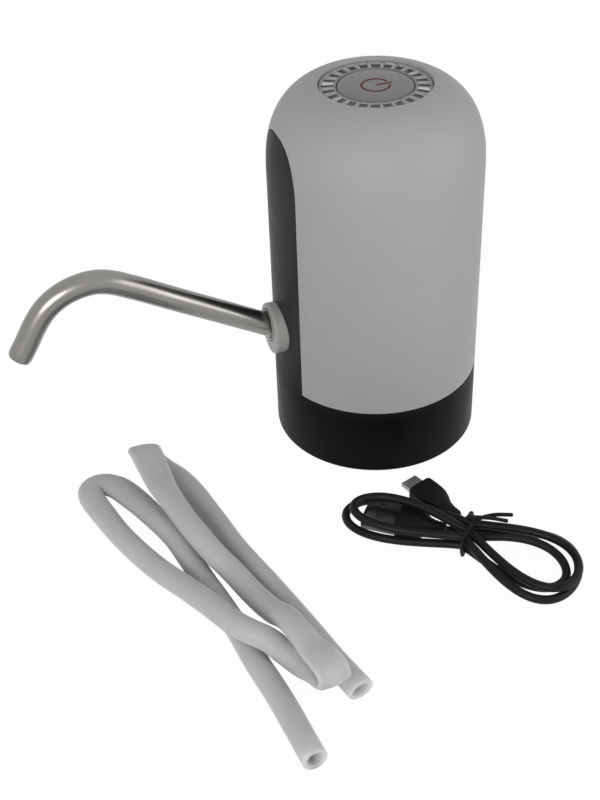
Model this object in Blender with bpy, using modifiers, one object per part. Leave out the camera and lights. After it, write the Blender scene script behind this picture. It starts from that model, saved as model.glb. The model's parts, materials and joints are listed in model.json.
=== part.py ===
"""Bottled water pump: a domed, rechargeable pump for a bottle's neck, with spout, hose and charging lead."""

import math

import bmesh
import bpy
import numpy as np
from mathutils import Matrix, Vector

# Driving sizes, in metres. The body's axis stands at BODY_X, and the spout points along -X.
BODY_RADIUS = 0.0375
BODY_X = 0.0479
SHELL_BOTTOM_Z = 0.0266
SHELL_WALL = 0.0020
FIT_GAP = 0.0003
EDGE = 0.0008
DOME_TOP_Z = 0.1373
DOME_HEIGHT = 0.0315
DOME_START_Z = DOME_TOP_Z - DOME_HEIGHT

BASE_TOP_Z = SHELL_BOTTOM_Z - FIT_GAP
SPIGOT_HEIGHT = 0.0017
SPIGOT_RADIUS = BODY_RADIUS - SHELL_WALL - FIT_GAP
DECK_TOP_Z = BASE_TOP_Z + SPIGOT_HEIGHT
DECK_THICKNESS = 0.0030
SKIRT_WALL = 0.0022
SKIRT_ROOM = 0.0048
SKIRT_ROOF_DROP = 0.0040
SOCKET_WALL = 0.0020
SOCKET_RADIUS = BODY_RADIUS - SKIRT_WALL - SKIRT_ROOM - SOCKET_WALL
SOCKET_CEILING_Z = DECK_TOP_Z - DECK_THICKNESS
SOCKET_LIFT = 0.0015
SKIRT_ROOF_Z = SOCKET_CEILING_Z - SKIRT_ROOF_DROP

PANEL_HALF_WIDTH = 0.0153
PANEL_RISE = 0.0184
PANEL_SPRING_Z = DOME_START_Z - EDGE
PANEL_TOP_Z = PANEL_SPRING_Z + PANEL_RISE
PANEL_RECESS = 0.00015
PANEL_ROOT_DEPTH = 0.0028
PANEL_ROOT_Z = BASE_TOP_Z - PANEL_ROOT_DEPTH

RING_INSET = 0.0185
RING_WIDTH = 0.0057
RING_OUTER_RADIUS = BODY_RADIUS - RING_INSET
RING_INNER_RADIUS = RING_OUTER_RADIUS - RING_WIDTH
RING_DROP = 0.0019
RING_TOP_Z = DOME_TOP_Z - RING_DROP
RING_THICKNESS = 0.0030
RING_RIM = 0.0008
FACET_DEPTH = 0.0009
CAP_RADIUS = RING_INNER_RADIUS - FIT_GAP
CAP_DROP = 0.0002
CAP_TOP_Z = RING_TOP_Z - CAP_DROP
CAP_LIP = 0.0015
CAP_LIP_HEIGHT = 0.0014
CAP_SKIN = 0.0022
CAP_STEM_RADIUS = 0.0025
CAP_STEM_LENGTH = 0.0079
CAP_STEM_Z = CAP_TOP_Z - CAP_STEM_LENGTH
SEAT_LEDGE = 0.0025
SEAT_INNER_RADIUS = RING_OUTER_RADIUS - SEAT_LEDGE
SEAT_THICKNESS = 0.0016

BOARD_DROP = 0.0076
BOARD_Z = CAP_STEM_Z - BOARD_DROP
BOARD_THICKNESS = 0.0016
BOARD_INSET = 0.0085
BOARD_RADIUS = BODY_RADIUS - BOARD_INSET
BOARD_POST_INSET = 0.0120
BOARD_POST_AT = BODY_RADIUS - BOARD_POST_INSET
BOARD_POST_RADIUS = 0.0026
BOARD_POST_DROP = 0.0042
BOARD_POST_TOP_Z = RING_TOP_Z - BOARD_POST_DROP
SWITCH_SIDE = 0.0060
SWITCH_HEIGHT = 0.0036
PLUNGER_RADIUS = 0.00175
PLUNGER_LENGTH = 0.0021
PLUNGER_Z = CAP_STEM_Z - FIT_GAP - PLUNGER_LENGTH
LED_SIDE = 0.0030
LED_HEIGHT = 0.0018
LED_INSET = 0.0030
LED_AT = RING_OUTER_RADIUS - LED_INSET

SCREW_RADIUS = 0.0010
SCREW_HEAD_RADIUS = 0.0019
SCREW_HEAD_HEIGHT = 0.0014
SCREW_LENGTH = 0.0080

# The motor, pump, cell and charging board lie and grow as these shares of the body's radius.
MOTOR_AT_SHARES = (-0.144, -0.120)
GEAR_MODULE_SHARE = 0.024
PUMP_SHARES = (0.384, 0.250667)
EAR_SHARES = ((0.346667, -0.453333), (-0.320, 0.240))
COVER_SCREW_SHARES = (0.317333, 0.184)
MOTOR_SHARE = 0.325333
ROTOR_SHARE = 0.213333
MAGNET_SHARE = 0.232
CELL_AT_SHARES = (0.426667, 0.453333)
CELL_SHARE = 0.245333
CHARGE_SHARES = (0.653333, 0.906667)
CHARGE_WIDTH_SHARE = 0.2
CHARGE_POST_SHARES = (0.72, 0.133333)

MOTOR_AT = (BODY_RADIUS * MOTOR_AT_SHARES[0], BODY_RADIUS * MOTOR_AT_SHARES[1])
GEAR_MODULE = BODY_RADIUS * GEAR_MODULE_SHARE
GEAR_TEETH = 12
GEAR_HEIGHT = 0.0070
PRESSURE_DEGREES = 25
GEAR_FLOAT = 0.0004
BACKLASH_SHARE = 0.333333
BACKLASH = GEAR_MODULE * BACKLASH_SHARE
SHAFT_RADIUS = 0.0010
SHAFT_LENGTH = 0.0390
PUMP_HALF_LENGTH = BODY_RADIUS * PUMP_SHARES[0]
PUMP_HALF_WIDTH = BODY_RADIUS * PUMP_SHARES[1]
PUMP_LIFT = 0.0150
PUMP_Z = DECK_TOP_Z + PUMP_LIFT
GEAR_Z = PUMP_Z + GEAR_FLOAT
PUMP_HEIGHT = 0.0110
CHAMBER_HEIGHT = 0.0078
COVER_HEIGHT = 0.0030
EAR_RADIUS = 0.0034
EAR_HEIGHT = 0.0030
EARS = [(BODY_RADIUS * x, BODY_RADIUS * y) for x, y in EAR_SHARES]
COVER_SCREWS = (BODY_RADIUS * COVER_SCREW_SHARES[0], BODY_RADIUS * COVER_SCREW_SHARES[1])
PORT_RADIUS = 0.0013
NIPPLE_RADIUS = 0.0020
NIPPLE_LENGTH = 0.0048
SEAL_RADIUS = 0.0032
SEAL_HEIGHT = 0.0012

MOTOR_RADIUS = BODY_RADIUS * MOTOR_SHARE
MOTOR_HEIGHT = 0.0270
MOTOR_WALL = 0.0009
MOTOR_BOSS_RADIUS = 0.0030
MOTOR_BOSS_HEIGHT = 0.0012
ROTOR_RADIUS = BODY_RADIUS * ROTOR_SHARE
ROTOR_HEIGHT = 0.0150
MAGNET_INNER_RADIUS = BODY_RADIUS * MAGNET_SHARE
MAGNET_DEGREES = 120
END_CAP_HEIGHT = 0.0025

CELL_AT = (BODY_RADIUS * CELL_AT_SHARES[0], BODY_RADIUS * CELL_AT_SHARES[1])
CELL_RADIUS = BODY_RADIUS * CELL_SHARE
CELL_HEIGHT = 0.0650
CRADLE_WALL = 0.0014
CRADLE_HEIGHT = 0.0440
CRADLE_FLOOR = 0.0022
CRADLE_OPEN_DEGREES = 110
CRADLE_EAR_OUT = 0.0028
CRADLE_EAR_DEGREES = 150.255
CRADLE_POST_HEIGHT = 0.0040

CHARGE_X = (BODY_RADIUS * CHARGE_SHARES[0], BODY_RADIUS * CHARGE_SHARES[1])
CHARGE_HALF_WIDTH = BODY_RADIUS * CHARGE_WIDTH_SHARE
CHARGE_LIFT = 0.0160
CHARGE_Z = DECK_TOP_Z + CHARGE_LIFT
CHARGE_THICKNESS = 0.0012
CHARGE_POST_AT = (BODY_RADIUS * CHARGE_POST_SHARES[0], BODY_RADIUS * CHARGE_POST_SHARES[1])
CHARGE_POST_RADIUS = 0.0021
USB_PORT = (0.0056, 0.0075, 0.0026)
USB_PORT_INSET = 0.0013
USB_PORT_MOUTH_X = BODY_RADIUS - USB_PORT_INSET
USB_PORT_WALL = 0.0003
USB_TONGUE = (0.0040, 0.0040, 0.0006)

SHELL_BOSS_INSET = 0.0045
SHELL_BOSS_AT = BODY_RADIUS - SHELL_BOSS_INSET
SHELL_BOSS_RADIUS = 0.0030
SHELL_BOSS_HEIGHT = 0.0085
SHELL_BOSS_DEGREES = (110, 232, 318)
SHELL_SCREW_LENGTH = 0.0110

NOZZLE_RADIUS = 0.0029
NOZZLE_BARB = 0.0004
NOZZLE_REACH = 0.0170
NOZZLE_TIP_Z = SOCKET_CEILING_Z - NOZZLE_REACH
NOZZLE_FLANGE = 0.0065
NOZZLE_FLANGE_HEIGHT = 0.0020
NOZZLE_SEAT_DEPTH = 0.0005
NOZZLE_NECK_RADIUS = 0.0038
NOZZLE_RISE = 0.0065
NOZZLE_TOP_Z = DECK_TOP_Z + NOZZLE_RISE
NUT_RADIUS = 0.0064
NUT_HEIGHT = 0.0026
TUBE_INNER_RADIUS = 0.0023
TUBE_OUTER_RADIUS = 0.0035

SPOUT_RADIUS = 0.0042
SPOUT_WALL = 0.0006
SPOUT_DEGREES = 29.6
COLLAR_STAND = 0.0025
COLLAR_FACE = BODY_RADIUS + COLLAR_STAND
COLLAR_LIP = 0.0009
SPOUT_LIFT = 0.0211
SPOUT_AXIS = (COLLAR_FACE, DECK_TOP_Z + SPOUT_LIFT)
SPOUT_INSERT_GAP = 0.0015
SLEEVE_WALL = 0.0008
COLLAR_BODY_RADIUS = 0.0068
COLLAR_CLEAR = 0.0162
COLLAR_DEPTH = BODY_RADIUS - COLLAR_CLEAR
COLLAR_BORE_END = 0.0048
COLLAR_BORE_DEPTH = COLLAR_DEPTH - COLLAR_BORE_END
SPOUT_INSERT = COLLAR_BORE_DEPTH - SPOUT_INSERT_GAP
COLLAR_NIPPLE_INSET = 0.0031
COLLAR_NIPPLE_S = COLLAR_DEPTH - COLLAR_NIPPLE_INSET
COLLAR_NIPPLE_END = 0.0128

HOSE_RADIUS = 0.0040
HOSE_BORE = 0.0027
CABLE_RADIUS = 0.00150
LOOP_POINTS = 24
TIE_AT = (0.0496, -0.0824)
HANK_DEGREES = -44
TIE_RADIUS = 0.0007

# Sizes and places that follow from these
SCREW_HOLE = SCREW_RADIUS + FIT_GAP
DOME_FLAT_RADIUS = RING_OUTER_RADIUS / 2
CRADLE_EAR_REACH = CELL_RADIUS + FIT_GAP + CRADLE_WALL + CRADLE_EAR_OUT
CRADLE_EAR_AT = (
    CELL_AT[0] + CRADLE_EAR_REACH * math.cos(math.radians(CRADLE_EAR_DEGREES)),
    CELL_AT[1] + CRADLE_EAR_REACH * math.sin(math.radians(CRADLE_EAR_DEGREES)),
)
PITCH_RADIUS = GEAR_MODULE * GEAR_TEETH / 2
PUMP_AT = (MOTOR_AT[0] + PITCH_RADIUS, MOTOR_AT[1])
IDLER_AT = (MOTOR_AT[0] + 2 * PITCH_RADIUS, MOTOR_AT[1])
PUMP_TOP_Z = PUMP_Z + PUMP_HEIGHT
COVER_Z = PUMP_Z - FIT_GAP - COVER_HEIGHT
SEAL_LOW_Z = PUMP_Z + CHAMBER_HEIGHT + FIT_GAP

# Shares
DOME_POWER = 2.6
PANEL_POWER = 2.4
GEAR_ROOT_SHARE = 1.22
LOBE_POWER = 1.5
BODY_STEPS = 48
ROUND_STEPS = 18
SMALL_STEPS = 10
SCREW_STEPS = 8

# Turns that lay an outline drawn flat against the front, with its depth running inwards and outwards.
FORWARDS = Matrix(((0, 0, 1, 0), (1, 0, 0, 0), (0, 1, 0, 0), (0, 0, 0, 1)))
OUTWARDS = Matrix(((0, 0, -1, 0), (-1, 0, 0, 0), (0, 1, 0, 0), (0, 0, 0, 1)))

# Distance in front of the collar's face, and height above the spout's foot, of the spout's centre line.
SPOUT_POINTS = (
    (0.0150, 0.0086),
    (0.0250, 0.0143),
    (0.0350, 0.0200),
    (0.0441, 0.0253),
    (0.0490, 0.0280),
    (0.0540, 0.0306),
    (0.0582, 0.0321),
    (0.0626, 0.0326),
    (0.0670, 0.0320),
    (0.0712, 0.0307),
    (0.0750, 0.0287),
    (0.0782, 0.0262),
    (0.0810, 0.0230),
    (0.0836, 0.0192),
    (0.0866, 0.0140),
    (0.0900, 0.0086),
)

# The hose's centre line as it lies on the floor, from one open end to the other.
HOSE_POINTS = (
    (-0.0291, -0.1535, 0.0040),
    (-0.0316, -0.1290, 0.0040),
    (-0.0341, -0.1125, 0.0040),
    (-0.0356, -0.0985, 0.0040),
    (-0.0376, -0.0855, 0.0040),
    (-0.0401, -0.0725, 0.0040),
    (-0.0421, -0.0600, 0.0040),
    (-0.0446, -0.0470, 0.0040),
    (-0.0491, -0.0335, 0.0040),
    (-0.0531, -0.0235, 0.0040),
    (-0.0572, -0.0156, 0.0040),
    (-0.0618, -0.0119, 0.0040),
    (-0.0660, -0.0130, 0.0040),
    (-0.0671, -0.0184, 0.0040),
    (-0.0646, -0.0295, 0.0040),
    (-0.0616, -0.0405, 0.0040),
    (-0.0576, -0.0515, 0.0040),
    (-0.0526, -0.0640, 0.0050),
    (-0.0471, -0.0775, 0.0080),
    (-0.0426, -0.0905, 0.0115),
    (-0.0381, -0.1020, 0.0132),
    (-0.0341, -0.1075, 0.0131),
    (-0.0297, -0.1114, 0.0118),
    (-0.0256, -0.1152, 0.0084),
    (-0.0218, -0.1200, 0.0064),
    (-0.0191, -0.1247, 0.0077),
    (-0.0174, -0.1287, 0.0088),
    (-0.0164, -0.1323, 0.0104),
    (-0.0161, -0.1340, 0.0132),
    (-0.0165, -0.1326, 0.0162),
    (-0.0178, -0.1290, 0.0175),
    (-0.0195, -0.1234, 0.0172),
    (-0.0212, -0.1160, 0.0173),
    (-0.0225, -0.1074, 0.0151),
    (-0.0246, -0.0980, 0.0101),
    (-0.0274, -0.0872, 0.0079),
    (-0.0312, -0.0750, 0.0084),
    (-0.0350, -0.0675, 0.0108),
    (-0.0381, -0.0588, 0.0125),
    (-0.0405, -0.0488, 0.0128),
    (-0.0424, -0.0365, 0.0122),
    (-0.0432, -0.0275, 0.0108),
    (-0.0437, -0.0205, 0.0112),
    (-0.0443, -0.0148, 0.0123),
    (-0.0446, -0.0108, 0.0128),
    (-0.0447, -0.0063, 0.0112),
    (-0.0440, -0.0046, 0.0080),
    (-0.0426, -0.0063, 0.0050),
    (-0.0400, -0.0110, 0.0040),
    (-0.0364, -0.0172, 0.0040),
    (-0.0325, -0.0279, 0.0040),
    (-0.0288, -0.0443, 0.0040),
    (-0.0256, -0.0615, 0.0040),
    (-0.0201, -0.0820, 0.0040),
    (-0.0149, -0.1030, 0.0040),
    (-0.0103, -0.1230, 0.0040),
    (-0.0075, -0.1335, 0.0040),
)
# Centre and reach of each fold, where the hose is pressed flat.
HOSE_FOLDS = ((-0.0170, -0.1322, 0.0132), (-0.0447, -0.0068, 0.0082))
FOLD_REACH = 0.0150
FOLD_FLAT_SHARE = 0.64
FOLD_WIDE_SHARE = 1.25

# Each loop of the hank: reach, fullness, way out, side it leaves on, rise beside the plugs and at the tip,
# and how far its tip leans sideways.
LOBES = (
    (0.0365, 0.0118, 1, 1, 0.0028, 0.0, -0.0030),
    (0.0429, 0.0117, -1, -1, 0.0, 0.0012, -0.0027),
    (0.0404, 0.0155, 1, 1, 0.0, 0.0037, -0.0036),
    (0.0389, 0.0086, -1, 1, 0.0018, 0.0080, -0.0055),
    (0.0400, 0.0202, 1, -1, 0.0, 0.0, -0.0027),
)
# Place of each pass inside the tie: sideways, and above the lowest one.
SLOTS = (
    (0.0, 0.0),
    (-0.0038, 0.0),
    (0.0038, 0.0041),
    (0.0, 0.0041),
    (-0.0040, 0.0041),
    (0.0038, 0.0),
)
SLOT_Z = 0.0033

SHARP_DEGREES = 35
MERGE = 0.00001
LOFT_SIDES = 20
DOME_STEPS = 8
INNER_DOME_STEPS = 5
ARCH_STEPS = 14
FACETS = 24
FACET_SHARE = 0.14
BOARD_POST_DEGREES = (0, 120, 240)
BOARD_SCREW_SHARE = 0.75
CHARGE_SCREW_SHARE = 0.7
HEAD_ROUND_SHARE = 0.75
EAR_ARM_SHARE = 0.9
INLET_SHARE = 0.85
CELL_TIP_SHARE = 0.3
CRADLE_TURN_DEGREES = 240
PANEL_STOP_SHARE = 0.8
PANEL_STOP_RADIUS = BODY_RADIUS * PANEL_STOP_SHARE
SHAFT_GAP = 0.0001
SLOT_POWER = 2
STACK_POWER = 2.50
SPOUT_STEP = 0.0056
SOFT_STEP = 0.0036
HOSE_STEP = 0.0112
TIE_STEP = 0.0026
# Roundness of tubes, from a wire to the spout.
WIRE_ROUND_STEPS = 1
HOSE_ROUND_STEPS = 2
SPOUT_ROUND_STEPS = 3
# How many radii along a tube two places lie apart before the gap between them counts.
APART_SHARE = 6

OUTLET_RISE = 0.0040
OUTLET_Z = PUMP_Z + OUTLET_RISE
# The outlet tube's bend: half its width, how far sideways its near shoulder lies, and how far inside the
# body's side its middle and its far shoulder lie.
OUTLET_BEND = (0.0121, -0.0215, 0.0113, 0.0160)
OUTLET_EASE_SHARE = 0.25

# Height of the collar's root from the spout's foot, and its half width and half height.
COLLAR_ROOT = (-0.0012, 0.0092, 0.0094)
# Sections of the collar: distance from the body's side, height from the spout's foot, half width and height.
COLLAR_SHAPE = (
    (-0.0041, -0.0012, 0.0092, 0.0094),
    (-0.0019, -0.0012, 0.0092, 0.0094),
    (0.0010, -0.0012, 0.0092, 0.0094),
    (0.0025, -0.0012, 0.0092, 0.0094),
    (0.0031, -0.0012, 0.0091, 0.0093),
    (0.0034, -0.0012, 0.0088, 0.0090),
)

# Plugs: where the cable meets them and where they point, their height, and their sections along the way.
PLUG_A = ((0.0445, -0.0770), (0.0218, -0.0592))
PLUG_A_Z = 0.0041
GRIP_A = (
    (0.0, 0.0, 0.0024, 0.0024, 2),
    (0.0040, 0.0, 0.0026, 0.0026, 2),
    (0.0075, 0.0, 0.0044, 0.0034, 3),
    (0.0110, 0.0, 0.0062, 0.0038, 4),
    (0.0160, 0.0, 0.0065, 0.0038, 4),
    (0.0167, 0.0, 0.0060, 0.0033, 4),
)
SHELL_A = (0.0117, 0.0120, 0.0045, 0.0003)
TONGUE_A = (0.0085, 0.0018)
PLUG_M = ((0.0512, -0.0716), (0.0426, -0.0484))
PLUG_M_Z = 0.0036
GRIP_M = (
    (0.0, 0.0, 0.0022, 0.0022, 2),
    (0.0045, 0.0, 0.0024, 0.0024, 2),
    (0.0070, 0.0, 0.0038, 0.0030, 3),
    (0.0105, 0.0, 0.0049, 0.0034, 4),
    (0.0186, 0.0, 0.0051, 0.0034, 4),
    (0.0193, 0.0, 0.0046, 0.0029, 4),
)
SHELL_M = (0.0054, 0.00685, 0.0018, 0.00025)
MICRO_CORNER_SHARE = 0.45
LEAD_START = ((0.04485, -0.07727, 0.0041), (0.0467, -0.0786, 0.0041))
LEAD_END = ((0.0522, -0.0797, 0.0033), (0.0520, -0.0757, 0.0036), (0.05138, -0.07206, 0.0036))

# The tie's centre line: along the hank, sideways, and height.
TIE_POINTS = (
    (0.0128, 0.0112, 0.0094),
    (0.0074, 0.0076, 0.0104),
    (0.0034, 0.0036, 0.0105),
    (0.0022, 0.0, 0.0101),
    (0.0016, -0.0050, 0.0104),
    (0.0013, -0.0074, 0.0083),
    (0.0015, -0.0070, 0.0030),
    (0.0012, -0.0052, 0.0008),
    (0.0006, 0.0, 0.0007),
    (0.0002, 0.0051, 0.0008),
    (0.0001, 0.0068, 0.0030),
    (-0.0002, 0.0069, 0.0082),
    (-0.0001, 0.0053, 0.0104),
    (0.0000, 0.0028, 0.0110),
    (0.0006, 0.0006, 0.0128),
    (0.0032, 0.0016, 0.0128),
    (0.0076, 0.0042, 0.0118),
    (0.0124, 0.0069, 0.0100),
)

# Colour as linear red, green and blue, then roughness and metallic.
KINDS = {
    "grey_plastic": ((0.33, 0.325, 0.315), 0.38, 0.0),
    "grey_gloss": ((0.27, 0.27, 0.275), 0.2, 0.0),
    "black_plastic": ((0.010, 0.010, 0.010), 0.42, 0.0),
    "dark_plastic": ((0.05, 0.05, 0.055), 0.45, 0.0),
    "white_plastic": ((0.75, 0.75, 0.73), 0.4, 0.0),
    "light_plastic": ((0.62, 0.62, 0.61), 0.4, 0.0),
    "clear_plastic": ((0.55, 0.56, 0.58), 0.08, 0.0),
    "clear_rubber": ((0.44, 0.44, 0.45), 0.45, 0.0),
    "grey_rubber": ((0.30, 0.30, 0.30), 0.6, 0.0),
    "black_rubber": ((0.009, 0.009, 0.009), 0.5, 0.0),
    "polished_steel": ((0.62, 0.61, 0.60), 0.12, 1.0),
    "steel": ((0.50, 0.50, 0.50), 0.35, 1.0),
    "dark_metal": ((0.10, 0.10, 0.11), 0.5, 1.0),
    "copper": ((0.55, 0.25, 0.12), 0.35, 1.0),
    "board_green": ((0.02, 0.12, 0.05), 0.5, 0.0),
    "led_yellow": ((0.75, 0.65, 0.25), 0.3, 0.0),
    "cell_blue": ((0.03, 0.10, 0.35), 0.35, 0.0),
}


def clear_scene():
    for obj in list(bpy.data.objects):
        bpy.data.objects.remove(obj, do_unlink=True)


def collection(name):
    made = bpy.data.collections.new(name)
    bpy.context.scene.collection.children.link(made)
    return made


def finish(obj, kind):
    """Gives an object its own material."""
    colour, roughness, metallic = KINDS[kind]
    made = bpy.data.materials.new(obj.name + "_finish")
    made.use_nodes = True
    shader = made.node_tree.nodes["Principled BSDF"]
    shader.inputs["Base Color"].default_value = (*colour, 1.0)
    shader.inputs["Roughness"].default_value = roughness
    shader.inputs["Metallic"].default_value = metallic
    obj.data.materials.append(made)
    obj.data.set_sharp_from_angle(angle=math.radians(SHARP_DEGREES))


def add(name, mesh, kind):
    """Adds a piece, or a cutter where kind is None. Its place is read from the body's axis."""
    obj = bpy.data.objects.new(name, mesh)
    home = PARTS if kind else CUTTERS
    home.objects.link(obj)
    obj.parent = BODY
    if kind:
        finish(obj, kind)
    else:
        obj.hide_render = True
        obj.display_type = "WIRE"
    return obj


def turned(name, profile, kind, steps=ROUND_STEPS):
    """Turns a profile of radius and height that runs down its outer side. A ring's closes on itself."""
    count = len(profile)
    edges = [(i, i + 1) for i in range(count - 1)]
    if profile[0][0] > 0:
        edges.append((count - 1, 0))
    mesh = bpy.data.meshes.new(name)
    mesh.from_pydata([(radius, 0, height) for radius, height in profile], edges, [])
    obj = add(name, mesh, kind)
    screw = obj.modifiers.new("turn", "SCREW")
    screw.steps = steps
    screw.render_steps = steps
    screw.use_merge_vertices = True
    screw.merge_threshold = MERGE
    return obj


def rod(name, radius, low, high, kind=None, steps=ROUND_STEPS):
    return turned(name, [(0, high), (radius, high), (radius, low), (0, low)], kind, steps)


def sleeve(name, inner, outer, low, high, kind, steps=ROUND_STEPS):
    return turned(name, [(outer, high), (outer, low), (inner, low), (inner, high)], kind, steps)


def peg(name, at, radius, low, high):
    """A small round post, or the cutter for a screw's hole, standing at a place."""
    made = rod(name, radius, low, high, steps=SCREW_STEPS)
    made.location = (*at, 0)
    return made


def box(name, size, centre, kind=None):
    shape = bmesh.new()
    bmesh.ops.create_cube(shape, size=1.0)
    bmesh.ops.scale(shape, vec=size, verts=shape.verts)
    mesh = bpy.data.meshes.new(name)
    shape.to_mesh(mesh)
    shape.free()
    obj = add(name, mesh, kind)
    obj.location = centre
    return obj


def combine(obj, other, operation):
    step = obj.modifiers.new(other.name, "BOOLEAN")
    step.operation = operation
    step.solver = "EXACT"
    step.object = other
    return obj


def cut(obj, *cutters):
    for cutter in cutters:
        combine(obj, cutter, "DIFFERENCE")
    return obj


def unite(obj, *others):
    for other in others:
        combine(obj, other, "UNION")
    return obj


def steadied(obj):
    """Uses the other solver for a piece whose many crossing cuts leave the exact one with open edges."""
    for step in obj.modifiers:
        if step.type == "BOOLEAN":
            step.solver = "MANIFOLD"


def bevelled(obj, width, segments=2):
    step = obj.modifiers.new("edges", "BEVEL")
    step.width = width
    step.segments = segments
    step.limit_method = "ANGLE"
    return obj


def solid_of_curve(name, curve, kind, merge=MERGE):
    """Turns a curve into a mesh object, with its seams closed."""
    holder = bpy.data.objects.new(name + "_curve", curve)
    bpy.context.scene.collection.objects.link(holder)
    graph = bpy.context.evaluated_depsgraph_get()
    mesh = bpy.data.meshes.new_from_object(holder.evaluated_get(graph))
    bpy.data.objects.remove(holder, do_unlink=True)
    mesh.materials.clear()
    mesh.name = name
    shape = bmesh.new()
    shape.from_mesh(mesh)
    bmesh.ops.remove_doubles(shape, verts=shape.verts, dist=merge)
    bmesh.ops.recalc_face_normals(shape, faces=shape.faces)
    shape.to_mesh(mesh)
    shape.free()
    return add(name, mesh, kind)


def plate(name, outlines, low, height, kind=None, at=(0, 0)):
    """A flat piece: its outlines, the outer one first, and how far it rises from its lower face."""
    curve = bpy.data.curves.new(name, "CURVE")
    curve.dimensions = "2D"
    curve.fill_mode = "BOTH"
    curve.extrude = height / 2
    for outline in outlines:
        spline = curve.splines.new("POLY")
        spline.points.add(len(outline) - 1)
        for point, (x, y) in zip(spline.points, outline):
            point.co = (x, y, 0, 1)
        spline.use_cyclic_u = True
    obj = solid_of_curve(name, curve, kind)
    obj.location = (*at, low + height / 2)
    return obj


def tube(name, points, radius, resolution, kind, wall=0.0):
    """A tube along points: solid, or hollow and open at both ends where it has a wall."""
    curve = bpy.data.curves.new(name, "CURVE")
    curve.dimensions = "3D"
    curve.bevel_depth = radius
    curve.bevel_resolution = resolution
    curve.use_fill_caps = not wall
    spline = curve.splines.new("POLY")
    spline.points.add(len(points) - 1)
    for point, place in zip(spline.points, points):
        point.co = (*place, 1)
    obj = solid_of_curve(name, curve, kind)
    for face in obj.data.polygons:
        face.use_smooth = True
    if wall:
        step = obj.modifiers.new("wall", "SOLIDIFY")
        step.thickness = wall
        step.offset = -1
    return obj


def loft(name, stations, kind=None, sides=LOFT_SIDES):
    """Joins sections along local Z: each has its place, rise, half width, half height and squareness."""
    shape = bmesh.new()
    rings = []
    for along, rise, half_width, half_height, power in stations:
        ring = []
        for i in range(sides):
            angle = 2 * math.pi * i / sides
            x = half_width * rounded(math.cos(angle), power)
            y = rise + half_height * rounded(math.sin(angle), power)
            ring.append(shape.verts.new((x, y, along)))
        rings.append(ring)
    for low, high in zip(rings, rings[1:]):
        for i in range(sides):
            j = (i + 1) % sides
            shape.faces.new((low[i], low[j], high[j], high[i]))
    shape.faces.new(rings[0])
    shape.faces.new(rings[-1])
    bmesh.ops.recalc_face_normals(shape, faces=shape.faces)
    mesh = bpy.data.meshes.new(name)
    shape.to_mesh(mesh)
    shape.free()
    return add(name, mesh, kind)


def rounded(value, power):
    return math.copysign(abs(value) ** (2 / power), value)


def circle(radius, steps, at=(0, 0), start=0.0, sweep=None):
    """Points of a circle, or of an arc with both its ends."""
    count = steps + 1 if sweep else steps
    sweep = sweep or 2 * math.pi
    angles = [start + sweep * i / steps for i in range(count)]
    return [(at[0] + radius * math.cos(a), at[1] + radius * math.sin(a)) for a in angles]


def polar(radius, degrees):
    angle = math.radians(degrees)
    return radius * math.cos(angle), radius * math.sin(angle)


def smooth(points, longest):
    """Points on a smooth curve through the given ones, no further apart than this."""
    given = np.array(points, dtype=float)
    padded = np.vstack([2 * given[0] - given[1], given, 2 * given[-1] - given[-2]])
    read = []
    for i in range(len(given) - 1):
        a, b, c, d = padded[i : i + 4]
        count = max(1, math.ceil(np.linalg.norm(c - b) / longest))
        for k in range(count):
            t = k / count
            bend = 2 * a - 5 * b + 4 * c - d
            read.append(b + (c - a) * t / 2 + bend * t**2 / 2 + (3 * b - a - 3 * c + d) * t**3 / 2)
    read.append(given[-1])
    return np.array(read)


def least_gap(points, radius, apart):
    """The least open distance between parts of one tube that are some way apart along it."""
    fine = smooth(points, radius / 2)
    run = np.concatenate([[0], np.cumsum(np.linalg.norm(np.diff(fine, axis=0), axis=1))])
    least = math.inf
    for here, place in zip(run, fine):
        beyond = fine[run > here + apart]
        if len(beyond):
            least = min(least, np.linalg.norm(beyond - place, axis=1).min())
    return least - 2 * radius


def dome(wall, stop_radius, steps=DOME_STEPS):
    """The dome's profile, from a radius near its top down to its foot, this far inside the outer face."""
    radius = BODY_RADIUS - wall - DOME_FLAT_RADIUS
    height = DOME_TOP_Z - DOME_START_Z - wall
    share = (stop_radius - DOME_FLAT_RADIUS) / radius
    last = math.acos(share ** (DOME_POWER / 2))
    profile = []
    for i in range(steps, -1, -1):
        angle = last * i / steps
        out = DOME_FLAT_RADIUS + radius * rounded(math.cos(angle), DOME_POWER)
        up = DOME_START_Z + height * rounded(math.sin(angle), DOME_POWER)
        profile.append((out, up))
    return profile


def arch(half_width, top, low):
    """The front panel's outline, as distance sideways and height."""
    points = [(half_width, low)]
    for i in range(ARCH_STEPS + 1):
        angle = math.pi * i / ARCH_STEPS
        side = half_width * rounded(math.cos(angle), PANEL_POWER)
        rise = (top - PANEL_SPRING_Z) * rounded(math.sin(angle), PANEL_POWER)
        points.append((side, PANEL_SPRING_Z + rise))
    points.append((-half_width, low))
    return points


def front_prism(name, outline, near, far):
    """A cutter with this outline of sideways and height, running forwards from near to far."""
    made = plate(name, [outline], 0, far - near)
    made.matrix_local = Matrix.Translation((-(near + far) / 2, 0, 0)) @ FORWARDS
    return made


def aimed(obj, start, direction):
    """Lays an object's Z axis along a direction, with its origin at start."""
    turn = Vector(direction).to_track_quat("Z", "Y").to_matrix().to_4x4()
    obj.matrix_local = Matrix.Translation(start) @ turn
    return obj


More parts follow.
